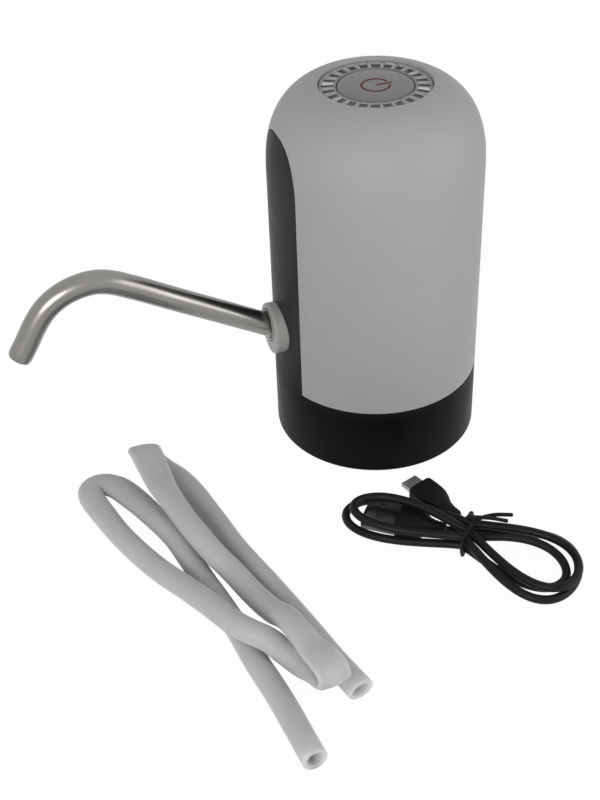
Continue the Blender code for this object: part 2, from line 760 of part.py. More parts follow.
def screw(name, at, seat, length, up):
    """A round-headed screw: its head's seat is at this height, and its shaft points up or down."""
    head = SCREW_HEAD_HEIGHT
    profile = [
        (0, -head / 2),
        (SCREW_RADIUS / 2, -head),
        (SCREW_HEAD_RADIUS * HEAD_ROUND_SHARE, -head),
        (SCREW_HEAD_RADIUS, -head / 2),
        (SCREW_HEAD_RADIUS, 0),
        (SCREW_RADIUS, 0),
        (SCREW_RADIUS, length - SCREW_RADIUS),
        (0, length),
    ]
    obj = turned(name, profile[::-1], "steel", SCREW_STEPS)
    obj.location = (*at, seat)
    if not up:
        obj.rotation_euler = (math.pi, 0, 0)
    return obj


def outer_shell():
    edge = RING_OUTER_RADIUS + FIT_GAP
    seat = RING_TOP_Z - RING_THICKNESS - FIT_GAP
    under = seat - SEAT_THICKNESS
    profile = dome(0, edge)
    profile.append((BODY_RADIUS, SHELL_BOTTOM_Z))
    profile.append((BODY_RADIUS - SHELL_WALL, SHELL_BOTTOM_Z))
    profile += dome(SHELL_WALL, edge + SHELL_WALL, INNER_DOME_STEPS)[::-1]
    profile += [(edge + SHELL_WALL, under), (SEAT_INNER_RADIUS, under)]
    profile += [(SEAT_INNER_RADIUS, seat), (edge, seat)]
    shell = turned("outer_shell", profile, "grey_plastic", BODY_STEPS)
    for i in range(3):
        at = polar(BOARD_POST_AT, BOARD_POST_DEGREES[i])
        low = BOARD_Z + BOARD_THICKNESS + FIT_GAP
        unite(shell, peg(f"board_post_{i + 1}", at, BOARD_POST_RADIUS, low, BOARD_POST_TOP_Z))
        at = polar(SHELL_BOSS_AT, SHELL_BOSS_DEGREES[i])
        low = DECK_TOP_Z + FIT_GAP
        unite(shell, peg(f"shell_boss_{i + 1}", at, SHELL_BOSS_RADIUS, low, low + SHELL_BOSS_HEIGHT))
    for i in range(3):
        at = polar(BOARD_POST_AT, BOARD_POST_DEGREES[i])
        cut(shell, peg(f"board_post_hole_{i + 1}", at, SCREW_HOLE, BOARD_Z, BOARD_Z + SCREW_LENGTH))
        at = polar(SHELL_BOSS_AT, SHELL_BOSS_DEGREES[i])
        top = SKIRT_ROOF_Z + SHELL_SCREW_LENGTH + FIT_GAP
        cut(shell, peg(f"shell_boss_hole_{i + 1}", at, SCREW_HOLE, SKIRT_ROOF_Z, top))
    outline = arch(PANEL_HALF_WIDTH + FIT_GAP, PANEL_TOP_Z + FIT_GAP, SKIRT_ROOF_Z)
    cut(shell, front_prism("panel_opening", outline, DOME_FLAT_RADIUS, BODY_RADIUS * 2))
    width, height = USB_PORT[1:]
    size = (SHELL_WALL * 4, width + 4 * FIT_GAP, height + 4 * FIT_GAP)
    z = CHARGE_Z + CHARGE_THICKNESS + FIT_GAP + height / 2
    cut(shell, bevelled(box("usb_opening", size, (BODY_RADIUS, 0, z)), EDGE))


def base_housing():
    base = turned("base_housing", base_profile(), "black_plastic", BODY_STEPS)
    unite(base, front_panel())
    posts = [(at, EAR_RADIUS - FIT_GAP, PUMP_Z - FIT_GAP) for at in EARS]
    posts.append((CRADLE_EAR_AT, CHARGE_POST_RADIUS, DECK_TOP_Z + CRADLE_POST_HEIGHT))
    for side in (1, -1):
        at = (CHARGE_POST_AT[0], side * CHARGE_POST_AT[1])
        posts.append((at, CHARGE_POST_RADIUS, CHARGE_Z - FIT_GAP))
    for i, (at, radius, top) in enumerate(posts):
        unite(base, peg(f"deck_post_{i + 1}", at, radius, SOCKET_CEILING_Z + EDGE, top))
    for i, (at, radius, top) in enumerate(posts):
        low = max(top - SCREW_LENGTH, SOCKET_CEILING_Z + EDGE * 2)
        cut(base, peg(f"deck_post_hole_{i + 1}", at, SCREW_HOLE, low, top + EDGE))
    for i, degrees in enumerate(SHELL_BOSS_DEGREES):
        at = polar(SHELL_BOSS_AT, degrees)
        cut(base, peg(f"deck_hole_{i + 1}", at, SCREW_HOLE, SKIRT_ROOF_Z - EDGE, DECK_TOP_Z + EDGE))
    middle, half_width, half_height = COLLAR_ROOT
    middle += SPOUT_AXIS[1]
    oval = [(x, middle + y) for x, y in ellipse(half_width + FIT_GAP, half_height + FIT_GAP)]
    cut(base, front_prism("collar_opening", oval, BODY_RADIUS / 2, BODY_RADIUS * 2))


def base_profile():
    skirt = BODY_RADIUS - SKIRT_WALL
    return [
        (SPIGOT_RADIUS, DECK_TOP_Z),
        (SPIGOT_RADIUS, BASE_TOP_Z),
        (BODY_RADIUS, BASE_TOP_Z),
        (BODY_RADIUS, EDGE),
        (BODY_RADIUS - EDGE / 3, EDGE / 3),
        (BODY_RADIUS - EDGE, 0),
        (skirt, 0),
        (skirt, SKIRT_ROOF_Z),
        (SOCKET_RADIUS + SOCKET_WALL, SKIRT_ROOF_Z),
        (SOCKET_RADIUS + SOCKET_WALL, SOCKET_LIFT),
        (SOCKET_RADIUS + EDGE, SOCKET_LIFT),
        (SOCKET_RADIUS, SOCKET_LIFT + EDGE),
        (SOCKET_RADIUS, SOCKET_CEILING_Z),
        (NOZZLE_FLANGE + FIT_GAP, SOCKET_CEILING_Z),
        (NOZZLE_FLANGE + FIT_GAP, SOCKET_CEILING_Z + NOZZLE_SEAT_DEPTH),
        (NOZZLE_NECK_RADIUS + FIT_GAP, SOCKET_CEILING_Z + NOZZLE_SEAT_DEPTH),
        (NOZZLE_NECK_RADIUS + FIT_GAP, DECK_TOP_Z),
    ]


def front_panel():
    """The arched part of the housing that fills the shell's opening."""
    band = dome(PANEL_RECESS, PANEL_STOP_RADIUS)
    band.append((BODY_RADIUS - PANEL_RECESS, PANEL_ROOT_Z))
    band.append((BODY_RADIUS - SHELL_WALL, PANEL_ROOT_Z))
    band += dome(SHELL_WALL, PANEL_STOP_RADIUS - SHELL_WALL, INNER_DOME_STEPS)[::-1]
    panel = turned("panel_band", band, None, BODY_STEPS)
    outline = arch(PANEL_HALF_WIDTH, PANEL_TOP_Z, PANEL_ROOT_Z - EDGE)
    shape = front_prism("panel_shape", outline, DOME_FLAT_RADIUS, BODY_RADIUS * 2)
    return combine(panel, shape, "INTERSECT")


def ellipse(half_width, half_height):
    return [(half_width * x, half_height * y) for x, y in circle(1, LOFT_SIDES)]


def button():
    low = RING_TOP_Z - RING_THICKNESS
    inner, outer = RING_INNER_RADIUS, RING_OUTER_RADIUS
    profile = [
        (inner + RING_RIM, RING_TOP_Z),
        (outer - RING_RIM, RING_TOP_Z),
        (outer - RING_RIM / 4, RING_TOP_Z),
        (outer, RING_TOP_Z - RING_RIM / 2),
        (outer, low),
        (inner, low),
        (inner, RING_TOP_Z - RING_RIM / 2),
        (inner + RING_RIM / 4, RING_TOP_Z),
    ]
    faceted_ring("button_ring", profile, 2)
    radius, skirt = CAP_RADIUS, CAP_TOP_Z - RING_THICKNESS
    profile = [
        (0, CAP_TOP_Z),
        (radius - EDGE, CAP_TOP_Z),
        (radius, CAP_TOP_Z - EDGE),
        (radius, skirt - FIT_GAP),
        (radius + CAP_LIP, skirt - FIT_GAP),
        (radius + CAP_LIP, skirt - CAP_LIP_HEIGHT),
        (radius - CAP_LIP, skirt - CAP_LIP_HEIGHT),
        (radius - CAP_LIP, CAP_TOP_Z - CAP_SKIN),
        (CAP_STEM_RADIUS, CAP_TOP_Z - CAP_SKIN),
        (CAP_STEM_RADIUS, CAP_STEM_Z),
        (0, CAP_STEM_Z),
    ]
    turned("button_cap", profile, "grey_gloss", FACETS)


def faceted_ring(name, profile, pressed):
    """A turned ring with evenly spaced radial grooves pressed into the first points of its profile."""
    count = FACETS * 3
    shape = bmesh.new()
    rings = []
    for i in range(count):
        turn, place = divmod(i, 3)
        angle = 2 * math.pi * (turn + (0, FACET_SHARE, 1 - FACET_SHARE)[place]) / FACETS
        ring = []
        for j, (radius, height) in enumerate(profile):
            drop = FACET_DEPTH if place == 0 and j < pressed else 0
            x, y = radius * math.cos(angle), radius * math.sin(angle)
            ring.append(shape.verts.new((x, y, height - drop)))
        rings.append(ring)
    for i in range(count):
        here, there = rings[i], rings[(i + 1) % count]
        for j in range(len(profile)):
            k = (j + 1) % len(profile)
            shape.faces.new((here[j], here[k], there[k], there[j]))
    bmesh.ops.recalc_face_normals(shape, faces=shape.faces)
    mesh = bpy.data.meshes.new(name)
    shape.to_mesh(mesh)
    shape.free()
    add(name, mesh, "clear_plastic")


def control_board():
    outlines = [circle(BOARD_RADIUS, ROUND_STEPS * 2)]
    for i, degrees in enumerate(BOARD_POST_DEGREES):
        at = polar(BOARD_POST_AT, degrees)
        outlines.append(circle(SCREW_HOLE, SCREW_STEPS, at))
        screw(f"board_screw_{i + 1}", at, BOARD_Z - FIT_GAP, SCREW_LENGTH * BOARD_SCREW_SHARE, True)
    plate("circuit_board", outlines, BOARD_Z, BOARD_THICKNESS, "board_green")
    z = BOARD_Z + BOARD_THICKNESS + FIT_GAP
    side = SWITCH_SIDE
    switch = box("tact_switch", (side, side, SWITCH_HEIGHT), (0, 0, z + SWITCH_HEIGHT / 2), "dark_metal")
    well = rod("switch_well", PLUNGER_RADIUS + FIT_GAP, z + SWITCH_HEIGHT / 2, z + side, steps=SMALL_STEPS)
    cut(switch, well)
    top = PLUNGER_Z + PLUNGER_LENGTH
    rod("switch_plunger", PLUNGER_RADIUS, PLUNGER_Z, top, "white_plastic", SMALL_STEPS)
    for i, side in enumerate((1, -1)):
        centre = (0, side * LED_AT, z + LED_HEIGHT / 2)
        box(f"status_led_{i + 1}", (LED_SIDE, LED_SIDE, LED_HEIGHT), centre, "led_yellow")


def charging_board():
    near, far = CHARGE_X
    half = CHARGE_HALF_WIDTH
    top = CHARGE_Z + CHARGE_THICKNESS
    outlines = [[(near, -half), (far, -half), (far, half), (near, half)]]
    for i, side in enumerate((1, -1)):
        at = (CHARGE_POST_AT[0], side * CHARGE_POST_AT[1])
        outlines.append(circle(SCREW_HOLE, SCREW_STEPS, at))
        screw(f"charge_screw_{i + 1}", at, top + FIT_GAP, SCREW_LENGTH * CHARGE_SCREW_SHARE, False)
    plate("charge_board", outlines, CHARGE_Z, CHARGE_THICKNESS, "board_green")


def usb_port():
    depth, width, height = USB_PORT
    wall = USB_PORT_WALL
    x = USB_PORT_MOUTH_X - depth / 2
    z = CHARGE_Z + CHARGE_THICKNESS + FIT_GAP + height / 2
    port = box("usb_port", USB_PORT, (x, 0, z), "steel")
    cut(port, box("port_room", (depth, width - 2 * wall, height - 2 * wall), (x + 2 * wall, 0, z)))
    length, side, thick = USB_TONGUE
    middle = USB_PORT_MOUTH_X - depth + length / 2 + wall
    unite(port, box("port_tongue", (length, side, thick), (middle, 0, z + thick)))


def gear_outline():
    """A gear's outline with involute flanks, thinned by the backlash."""
    pitch = PITCH_RADIUS
    pressure = math.radians(PRESSURE_DEGREES)
    base = pitch * math.cos(pressure)
    root = pitch - GEAR_MODULE * GEAR_ROOT_SHARE
    tip = pitch + GEAR_MODULE
    half = math.pi / (2 * GEAR_TEETH) - BACKLASH / (2 * pitch)
    flank = [(root, half + involute(pressure))]
    for radius in (base, pitch, tip):
        flank.append((radius, half + involute(pressure) - involute(math.acos(min(1, base / radius)))))
    points = []
    for tooth in range(GEAR_TEETH):
        middle = 2 * math.pi * tooth / GEAR_TEETH
        for radius, angle in flank:
            points.append((radius * math.cos(middle - angle), radius * math.sin(middle - angle)))
        for radius, angle in flank[::-1]:
            points.append((radius * math.cos(middle + angle), radius * math.sin(middle + angle)))
    return points


def involute(angle):
    return math.tan(angle) - angle


def pump_body():
    size = (2 * PUMP_HALF_LENGTH, 2 * PUMP_HALF_WIDTH, PUMP_HEIGHT)
    body = box("pump_body", size, (*PUMP_AT, PUMP_Z + PUMP_HEIGHT / 2), "dark_plastic")
    for i, (x, y) in enumerate(EARS):
        ear = peg(f"ear_{i + 1}", (x, y), EAR_RADIUS, PUMP_Z, PUMP_Z + EAR_HEIGHT)
        edge_y = math.copysign(PUMP_HALF_WIDTH - EDGE, y - PUMP_AT[1]) + PUMP_AT[1]
        size = (2 * EAR_RADIUS * EAR_ARM_SHARE, abs(y - edge_y), EAR_HEIGHT * EAR_ARM_SHARE)
        centre = (x * EAR_ARM_SHARE, (y + edge_y) / 2, PUMP_Z + EAR_HEIGHT / 2)
        unite(body, ear, box(f"ear_arm_{i + 1}", size, centre))
    cut(body, gear_room())
    nipple = rod("outlet_nipple", NIPPLE_RADIUS, -EDGE, NIPPLE_LENGTH, steps=SMALL_STEPS)
    bore = rod("outlet_bore", PORT_RADIUS, EDGE - PUMP_HALF_WIDTH, NIPPLE_LENGTH + EDGE, steps=SMALL_STEPS)
    for made in (nipple, bore):
        aimed(made, (0, PUMP_AT[1] - PUMP_HALF_WIDTH, OUTLET_Z), (0, -1, 0))
    seal_room = rod("seal_room", SEAL_RADIUS + FIT_GAP, SEAL_LOW_Z, PUMP_TOP_Z + EDGE)
    seal_room.location = (*MOTOR_AT, 0)
    pocket_top = PUMP_Z + CHAMBER_HEIGHT - EDGE
    unite(body, nipple)
    cut(body, peg("inlet_pocket", (0, -PORT_RADIUS), PORT_RADIUS * 2, PUMP_Z - EDGE, pocket_top))
    cut(body, seal_room, peg("shaft_hole", MOTOR_AT, SCREW_HOLE, PUMP_Z, PUMP_TOP_Z + EDGE))
    cut(body, peg("pin_hole", IDLER_AT, SCREW_HOLE, PUMP_Z, PUMP_TOP_Z - EDGE), bore)
    for i, at in enumerate(cover_screw_places()):
        cut(body, peg(f"body_hole_{i + 1}", at, SCREW_HOLE, COVER_Z, COVER_Z + SCREW_LENGTH + EDGE))
    for i, at in enumerate(EARS):
        cut(body, peg(f"ear_hole_{i + 1}", at, SCREW_HOLE, PUMP_Z - EDGE, PUMP_Z + EAR_HEIGHT + EDGE))
        screw(f"mount_screw_{i + 1}", at, PUMP_Z + EAR_HEIGHT + FIT_GAP, SCREW_LENGTH, False)
    steadied(body)


def gear_room():
    """The cutter for the two gears' shared room, shaped like a figure of eight."""
    room = PITCH_RADIUS + GEAR_MODULE + FIT_GAP
    waist = math.acos(PITCH_RADIUS / room)
    sweep = 2 * (math.pi - waist)
    right = circle(room, ROUND_STEPS, (PITCH_RADIUS, 0), waist - math.pi, sweep)
    left = circle(room, ROUND_STEPS, (-PITCH_RADIUS, 0), waist, sweep)
    return plate("chamber", [right[:-1] + left[:-1]], PUMP_Z - EDGE, CHAMBER_HEIGHT + EDGE, None, PUMP_AT)


def cover_screw_places():
    places = []
    for side, end in ((1, 1), (1, -1), (-1, 1), (-1, -1)):
        places.append((PUMP_AT[0] + side * COVER_SCREWS[0], PUMP_AT[1] + end * COVER_SCREWS[1]))
    return places


def pump_cover():
    size = (2 * PUMP_HALF_LENGTH, 2 * PUMP_HALF_WIDTH, COVER_HEIGHT)
    cover = box("pump_cover", size, (*PUMP_AT, COVER_Z + COVER_HEIGHT / 2), "dark_plastic")
    low = COVER_Z - NIPPLE_LENGTH * INLET_SHARE
    unite(cover, rod("inlet_nipple", NIPPLE_RADIUS, low, COVER_Z + EDGE, steps=SMALL_STEPS))
    cut(cover, rod("inlet_bore", PORT_RADIUS, low - EDGE, PUMP_Z, steps=SMALL_STEPS))
    for i, at in enumerate(cover_screw_places()):
        cut(cover, peg(f"cover_hole_{i + 1}", at, SCREW_HOLE, COVER_Z - EDGE, PUMP_Z))
        screw(f"cover_screw_{i + 1}", at, COVER_Z - FIT_GAP, SCREW_LENGTH, True)


def gears():
    """The two meshing gears, the pin that the second one turns on, and the seal round the shaft."""
    outlines = [gear_outline(), circle(SHAFT_RADIUS + SHAFT_GAP, SMALL_STEPS)]
    plate("drive_gear", outlines, GEAR_Z, GEAR_HEIGHT, "white_plastic", MOTOR_AT)
    driven = plate("driven_gear", outlines, GEAR_Z, GEAR_HEIGHT, "white_plastic", IDLER_AT)
    driven.rotation_euler = (0, 0, math.pi / GEAR_TEETH)
    pin = rod("idler_pin", SHAFT_RADIUS, GEAR_Z, PUMP_TOP_Z - 2 * EDGE, "steel", SMALL_STEPS)
    pin.location = (*IDLER_AT, 0)
    low = SEAL_LOW_Z + FIT_GAP
    seal = sleeve("shaft_seal", SCREW_HOLE, SEAL_RADIUS, low, low + SEAL_HEIGHT, "black_rubber")
    seal.location = (*MOTOR_AT, 0)


def motor():
    low = PUMP_TOP_Z + FIT_GAP
    top = low + MOTOR_HEIGHT
    hole = SHAFT_RADIUS + FIT_GAP
    inner = MOTOR_RADIUS - MOTOR_WALL
    profile = [
        (MOTOR_RADIUS, top),
        (MOTOR_RADIUS, low + EDGE),
        (MOTOR_RADIUS - EDGE, low),
        (MOTOR_BOSS_RADIUS, low),
        (MOTOR_BOSS_RADIUS, low - MOTOR_BOSS_HEIGHT),
        (hole, low - MOTOR_BOSS_HEIGHT),
        (hole, low + MOTOR_WALL),
        (inner, low + MOTOR_WALL),
        (inner, top),
    ]
    can = turned("motor_can", profile, "steel")
    cap_low = top - END_CAP_HEIGHT
    cap = sleeve("motor_end_cap", hole, inner - FIT_GAP, cap_low, top, "black_plastic")
    rotor_low = (low + MOTOR_WALL + cap_low - ROTOR_HEIGHT) / 2
    rotor_top = rotor_low + ROTOR_HEIGHT
    rotor = sleeve("motor_rotor", SHAFT_RADIUS + SHAFT_GAP, ROTOR_RADIUS, rotor_low, rotor_top, "copper")
    shaft = rod("motor_shaft", SHAFT_RADIUS, GEAR_Z, GEAR_Z + SHAFT_LENGTH, "steel", SMALL_STEPS)
    for obj in (can, cap, rotor, shaft):
        obj.location = (*MOTOR_AT, 0)
    sweep = math.radians(MAGNET_DEGREES)
    for i, middle in enumerate((math.pi / 2, -math.pi / 2)):
        start = middle - sweep / 2
        outside = circle(inner - FIT_GAP, SMALL_STEPS, start=start, sweep=sweep)
        inside = circle(MAGNET_INNER_RADIUS, SMALL_STEPS, start=start, sweep=sweep)
        outlines = [outside + inside[::-1]]
        plate(f"motor_magnet_{i + 1}", outlines, rotor_low, ROTOR_HEIGHT, "dark_metal", MOTOR_AT)


def battery_cradle():
    low = DECK_TOP_Z + FIT_GAP
    inner = CELL_RADIUS + FIT_GAP
    gap = math.radians(CRADLE_OPEN_DEGREES)
    start = math.radians(CRADLE_TURN_DEGREES) + gap / 2
    sweep = 2 * math.pi - gap
    outside = circle(inner + CRADLE_WALL, ROUND_STEPS, start=start, sweep=sweep)
    inside = circle(inner, ROUND_STEPS, start=start, sweep=sweep)
    outlines = [outside + inside[::-1]]
    cradle = plate("battery_cradle", outlines, low, CRADLE_HEIGHT, "black_plastic", CELL_AT)
    disc = rod("cradle_floor", inner + CRADLE_WALL / 2, low, low + CRADLE_FLOOR)
    room = rod("cell_room", inner, low + CRADLE_FLOOR, low + CRADLE_HEIGHT + EDGE)
    for obj in (disc, room):
        obj.location = (*CELL_AT, 0)
    ear_low = DECK_TOP_Z + CRADLE_POST_HEIGHT + FIT_GAP
    ear_top = ear_low + EAR_HEIGHT
    unite(cradle, disc, peg("cradle_ear", CRADLE_EAR_AT, EAR_RADIUS, ear_low, ear_top))
    cut(cradle, peg("cradle_ear_hole", CRADLE_EAR_AT, SCREW_HOLE, low, ear_top + EDGE), room)
    screw("cradle_screw", CRADLE_EAR_AT, ear_top + FIT_GAP, SCREW_LENGTH, False)


def battery_cell():
    low = DECK_TOP_Z + CRADLE_FLOOR + 2 * FIT_GAP
    top = low + CELL_HEIGHT
    tip = CELL_RADIUS * CELL_TIP_SHARE
    profile = [
        (0, top),
        (tip, top),
        (tip, top - EDGE),
        (CELL_RADIUS - EDGE, top - EDGE),
        (CELL_RADIUS, top - 2 * EDGE),
        (CELL_RADIUS, low + EDGE),
        (CELL_RADIUS - EDGE, low),
        (0, low),
    ]
    cell = turned("battery_cell", profile, "cell_blue")
    cell.location = (*CELL_AT, 0)


def hose_nozzle():
    flange = SOCKET_CEILING_Z + NOZZLE_SEAT_DEPTH - FIT_GAP
    low = flange - NOZZLE_FLANGE_HEIGHT
    nut_top = DECK_TOP_Z + FIT_GAP + NUT_HEIGHT
    profile = [
        (NIPPLE_RADIUS, NOZZLE_TOP_Z),
        (NIPPLE_RADIUS, nut_top),
        (NOZZLE_NECK_RADIUS, nut_top),
        (NOZZLE_NECK_RADIUS, flange),
        (NOZZLE_FLANGE, flange),
        (NOZZLE_FLANGE, low),
        (NOZZLE_RADIUS, low),
    ]
    for i in range(3):
        z = low - (low - NOZZLE_TIP_Z) * (i + 1) / 3
        profile.append((NOZZLE_RADIUS, z + 3 * NOZZLE_BARB + EDGE))
        profile.append((NOZZLE_RADIUS + NOZZLE_BARB, z + 3 * NOZZLE_BARB))
        profile.append((NOZZLE_RADIUS - NOZZLE_BARB, z))
    profile += [(PORT_RADIUS, NOZZLE_TIP_Z), (PORT_RADIUS, NOZZLE_TOP_Z)]
    turned("hose_nozzle", profile, "black_plastic", SMALL_STEPS)
    outlines = [circle(NUT_RADIUS, 6), circle(NOZZLE_NECK_RADIUS + FIT_GAP, SMALL_STEPS)]
    plate("nozzle_nut", outlines, DECK_TOP_Z + FIT_GAP, NUT_HEIGHT, "steel")


def inlet_tube():
    low = DECK_TOP_Z + NUT_HEIGHT + 3 * FIT_GAP
    top = COVER_Z - FIT_GAP
    sleeve("inlet_tube", TUBE_INNER_RADIUS, TUBE_OUTER_RADIUS, low, top, "clear_rubber", SMALL_STEPS)


def spout_direction():
    angle = math.radians(SPOUT_DEGREES)
    return Vector((-math.cos(angle), 0, math.sin(angle)))


def spout_point(along):
    """A point on the spout's straight axis, this far out from the collar's face."""
    start = Vector((-SPOUT_AXIS[0], 0, SPOUT_AXIS[1]))
    return start + spout_direction() * along


def collar():
    foot = SPOUT_AXIS[1]
    stations = [(BODY_RADIUS + out, foot + up, wide, high, 2) for out, up, wide, high in COLLAR_SHAPE]
    made = loft("spout_collar", stations, "light_plastic")
    made.matrix_local = OUTWARDS
    sleeve_radius = SPOUT_RADIUS + 2 * FIT_GAP + SLEEVE_WALL
    trunk = rod("collar_trunk", COLLAR_BODY_RADIUS, -COLLAR_DEPTH, -COLLAR_BODY_RADIUS)
    bore = rod("collar_bore", sleeve_radius, -COLLAR_BORE_DEPTH, COLLAR_BODY_RADIUS)
    low = -COLLAR_NIPPLE_S - NIPPLE_RADIUS / 2
    passage = rod("collar_passage", NIPPLE_RADIUS, low, 0, steps=SMALL_STEPS)
    for obj in (trunk, bore, passage):
        aimed(obj, spout_point(0), spout_direction())
    low, top = COLLAR_BODY_RADIUS - 2 * EDGE, COLLAR_NIPPLE_END
    nipple = rod("collar_nipple", NIPPLE_RADIUS, low, top, steps=SMALL_STEPS)
    way = rod("collar_nipple_bore", PORT_RADIUS, 0, top + EDGE, steps=SMALL_STEPS)
    for obj in (nipple, way):
        aimed(obj, spout_point(-COLLAR_NIPPLE_S), (0, -1, 0))
    unite(made, trunk, nipple)
    cut(made, bore, passage, way)
    steadied(made)


def spout_sleeve():
    inner = SPOUT_RADIUS + FIT_GAP
    low, top = FIT_GAP - COLLAR_BORE_DEPTH, COLLAR_BODY_RADIUS
    ring = sleeve("spout_sleeve", inner, inner + SLEEVE_WALL, low, top, "grey_rubber")
    aimed(ring, spout_point(0), spout_direction())
    side = 2 * COLLAR_BODY_RADIUS
    x = -COLLAR_FACE - COLLAR_LIP - FIT_GAP - side / 2
    cut(ring, box("sleeve_trim", (side, side, 2 * side), (x, 0, SPOUT_AXIS[1])))


def spout():
    points = [spout_point(-SPOUT_INSERT), spout_point(0)]
    points += [Vector((-SPOUT_AXIS[0] - out, 0, SPOUT_AXIS[1] + up)) for out, up in SPOUT_POINTS]
    turn = spout_direction().to_track_quat("Z", "Y").to_matrix().to_4x4()
    place = Matrix.Translation(spout_point(0)) @ turn
    line = [place.inverted() @ Vector(point) for point in smooth(points, SPOUT_STEP)]
    made = tube("spout_tube", line, SPOUT_RADIUS, SPOUT_ROUND_STEPS, "polished_steel", SPOUT_WALL)
    made.matrix_local = place


def outlet_tube():
    """The soft tube from the pump's outlet round to the nipple at the collar's side."""
    face = PUMP_AT[1] - PUMP_HALF_WIDTH - 2 * FIT_GAP
    end = spout_point(-COLLAR_NIPPLE_S)
    half, shoulder, middle_inset, far_inset = OUTLET_BEND
    ease = half * OUTLET_EASE_SHARE
    points = [
        (0, face, OUTLET_Z),
        (0, face - NIPPLE_LENGTH, OUTLET_Z),
        (-ease, shoulder, OUTLET_Z - EDGE),
        (-half, middle_inset - BODY_RADIUS, (OUTLET_Z + end.z) / 2),
        (end.x + ease, far_inset - BODY_RADIUS, end.z + EDGE),
        (end.x, -COLLAR_NIPPLE_END - EDGE, end.z),
        (end.x, -COLLAR_BODY_RADIUS - 2 * FIT_GAP, end.z),
    ]
    wall = TUBE_OUTER_RADIUS - TUBE_INNER_RADIUS
    line = smooth(points, SOFT_STEP)
    tube("outlet_tube", line, TUBE_OUTER_RADIUS, HOSE_ROUND_STEPS, "clear_rubber", wall)


def shell_screws():
    for i, degrees in enumerate(SHELL_BOSS_DEGREES):
        at = polar(SHELL_BOSS_AT, degrees)
        screw(f"shell_screw_{i + 1}", at, SKIRT_ROOF_Z - FIT_GAP, SHELL_SCREW_LENGTH, True)


def loose(obj):
    """Places a piece by the floor's own centre and not by the body's axis."""
    obj.parent = None
    return obj


def hose():
    points = smooth(HOSE_POINTS, HOSE_STEP)
    report_line("suction_hose", points, HOSE_RADIUS)
    wall = HOSE_RADIUS - HOSE_BORE
    made = loose(tube("suction_hose", points, HOSE_RADIUS, HOSE_ROUND_STEPS, "clear_rubber", wall))
    press_folds(made, points)


def report_line(name, points, radius):
    gap = least_gap(points, radius, radius * APART_SHARE)
    length = sum((Vector(a) - Vector(b)).length for a, b in zip(points, points[1:]))
    print(f"{name}: least gap to itself {gap * 1000:.2f} mm, length {length:.3f} m")


def press_folds(obj, points):
    """Presses the hose flat near each fold: each section is made lower and wider about its own centre."""
    for vertex in obj.data.vertices:
        nearest = min(points, key=lambda p: (Vector(p) - vertex.co).length)
        for fold in HOSE_FOLDS:
            far = (Vector(nearest) - Vector(fold)).length / FOLD_REACH
            if far >= 1:
                continue
            ease = 0.5 + 0.5 * math.cos(math.pi * far)
            lower = 1 + (FOLD_FLAT_SHARE - 1) * ease
            wider = 1 + (FOLD_WIDE_SHARE - 1) * ease
            centre = Vector(nearest)
            out = vertex.co - centre
            vertex.co = centre + Vector((out.x * wider, out.y * wider, out.z * lower))


def hank_place(along, side, height):
    """World place of a point given along the hank, sideways from its axis and above the floor."""
    angle = math.radians(HANK_DEGREES)
    x = TIE_AT[0] + along * math.cos(angle) - side * math.sin(angle)
    y = TIE_AT[1] + along * math.sin(angle) + side * math.cos(angle)
    return x, y, height


def hank_points():
    points = []
    floor = CABLE_RADIUS
    for i, (reach, half, way, first, rise, tip_rise, lean) in enumerate(LOBES):
        for k in range(LOOP_POINTS):
            t = 2 * math.pi * k / LOOP_POINTS
            slot = SLOTS[i] if t < math.pi else SLOTS[i + 1]
            ease = abs(math.cos(t / 2)) ** SLOT_POWER
            low = floor + (SLOT_Z - floor) * ease + slot[1] * abs(math.cos(t / 2)) ** STACK_POWER
            low += tip_rise * math.sin(t / 2) ** 2
            out = way * reach * (1 - math.cos(t)) / 2
            bulge = first * half * math.sin(t) * math.sin(t / 2) ** LOBE_POWER
            if bulge > 0:
                low += rise * math.sin(t) ** 2
            side = bulge + lean * math.sin(t / 2) ** 2 + slot[0] * ease
            points.append(hank_place(out, side, low))
    return points


def charging_lead():
    points = [*LEAD_START, *hank_points(), *LEAD_END]
    report_line("charging_cable", points, CABLE_RADIUS)
    loose(tube("charging_cable", points, CABLE_RADIUS, WIRE_ROUND_STEPS, "black_rubber"))


def plug_matrix(ends, height):
    """Lays a plug's Z axis from its cable's end towards its tip, with its Y axis up."""
    start, tip = ends
    aim = Vector((tip[0] - start[0], tip[1] - start[1], 0)).normalized()
    up = Vector((0, 0, 1))
    side = up.cross(aim)
    return Matrix.Translation((*start, height)) @ Matrix((side, up, aim)).transposed().to_4x4()


def large_plug():
    place = plug_matrix(PLUG_A, PLUG_A_Z)
    grip = loose(loft("usb_a_grip", GRIP_A, "black_rubber"))
    grip.matrix_world = place
    depth, wide, high, wall = SHELL_A
    low = GRIP_A[-1][0] + FIT_GAP
    shift = Matrix.Translation((0, 0, low + depth / 2))
    shell = loose(box("usb_a_shell", (wide, high, depth), (0, 0, 0), "polished_steel"))
    shell.matrix_world = place @ shift
    room = loose(box("usb_a_room", (wide - 2 * wall, high - 2 * wall, depth), (0, 0, 0)))
    room.matrix_world = place @ shift @ Matrix.Translation((0, 0, 2 * wall))
    cut(shell, room)
    long, thick = TONGUE_A
    size = (wide - 2 * wall - 2 * EDGE, thick, long)
    tongue = loose(box("usb_a_tongue", size, (0, 0, 0), "white_plastic"))
    rise = high / 2 - wall - FIT_GAP - thick / 2
    tongue.matrix_world = place @ Matrix.Translation((0, rise, low + 2 * wall + FIT_GAP + long / 2))


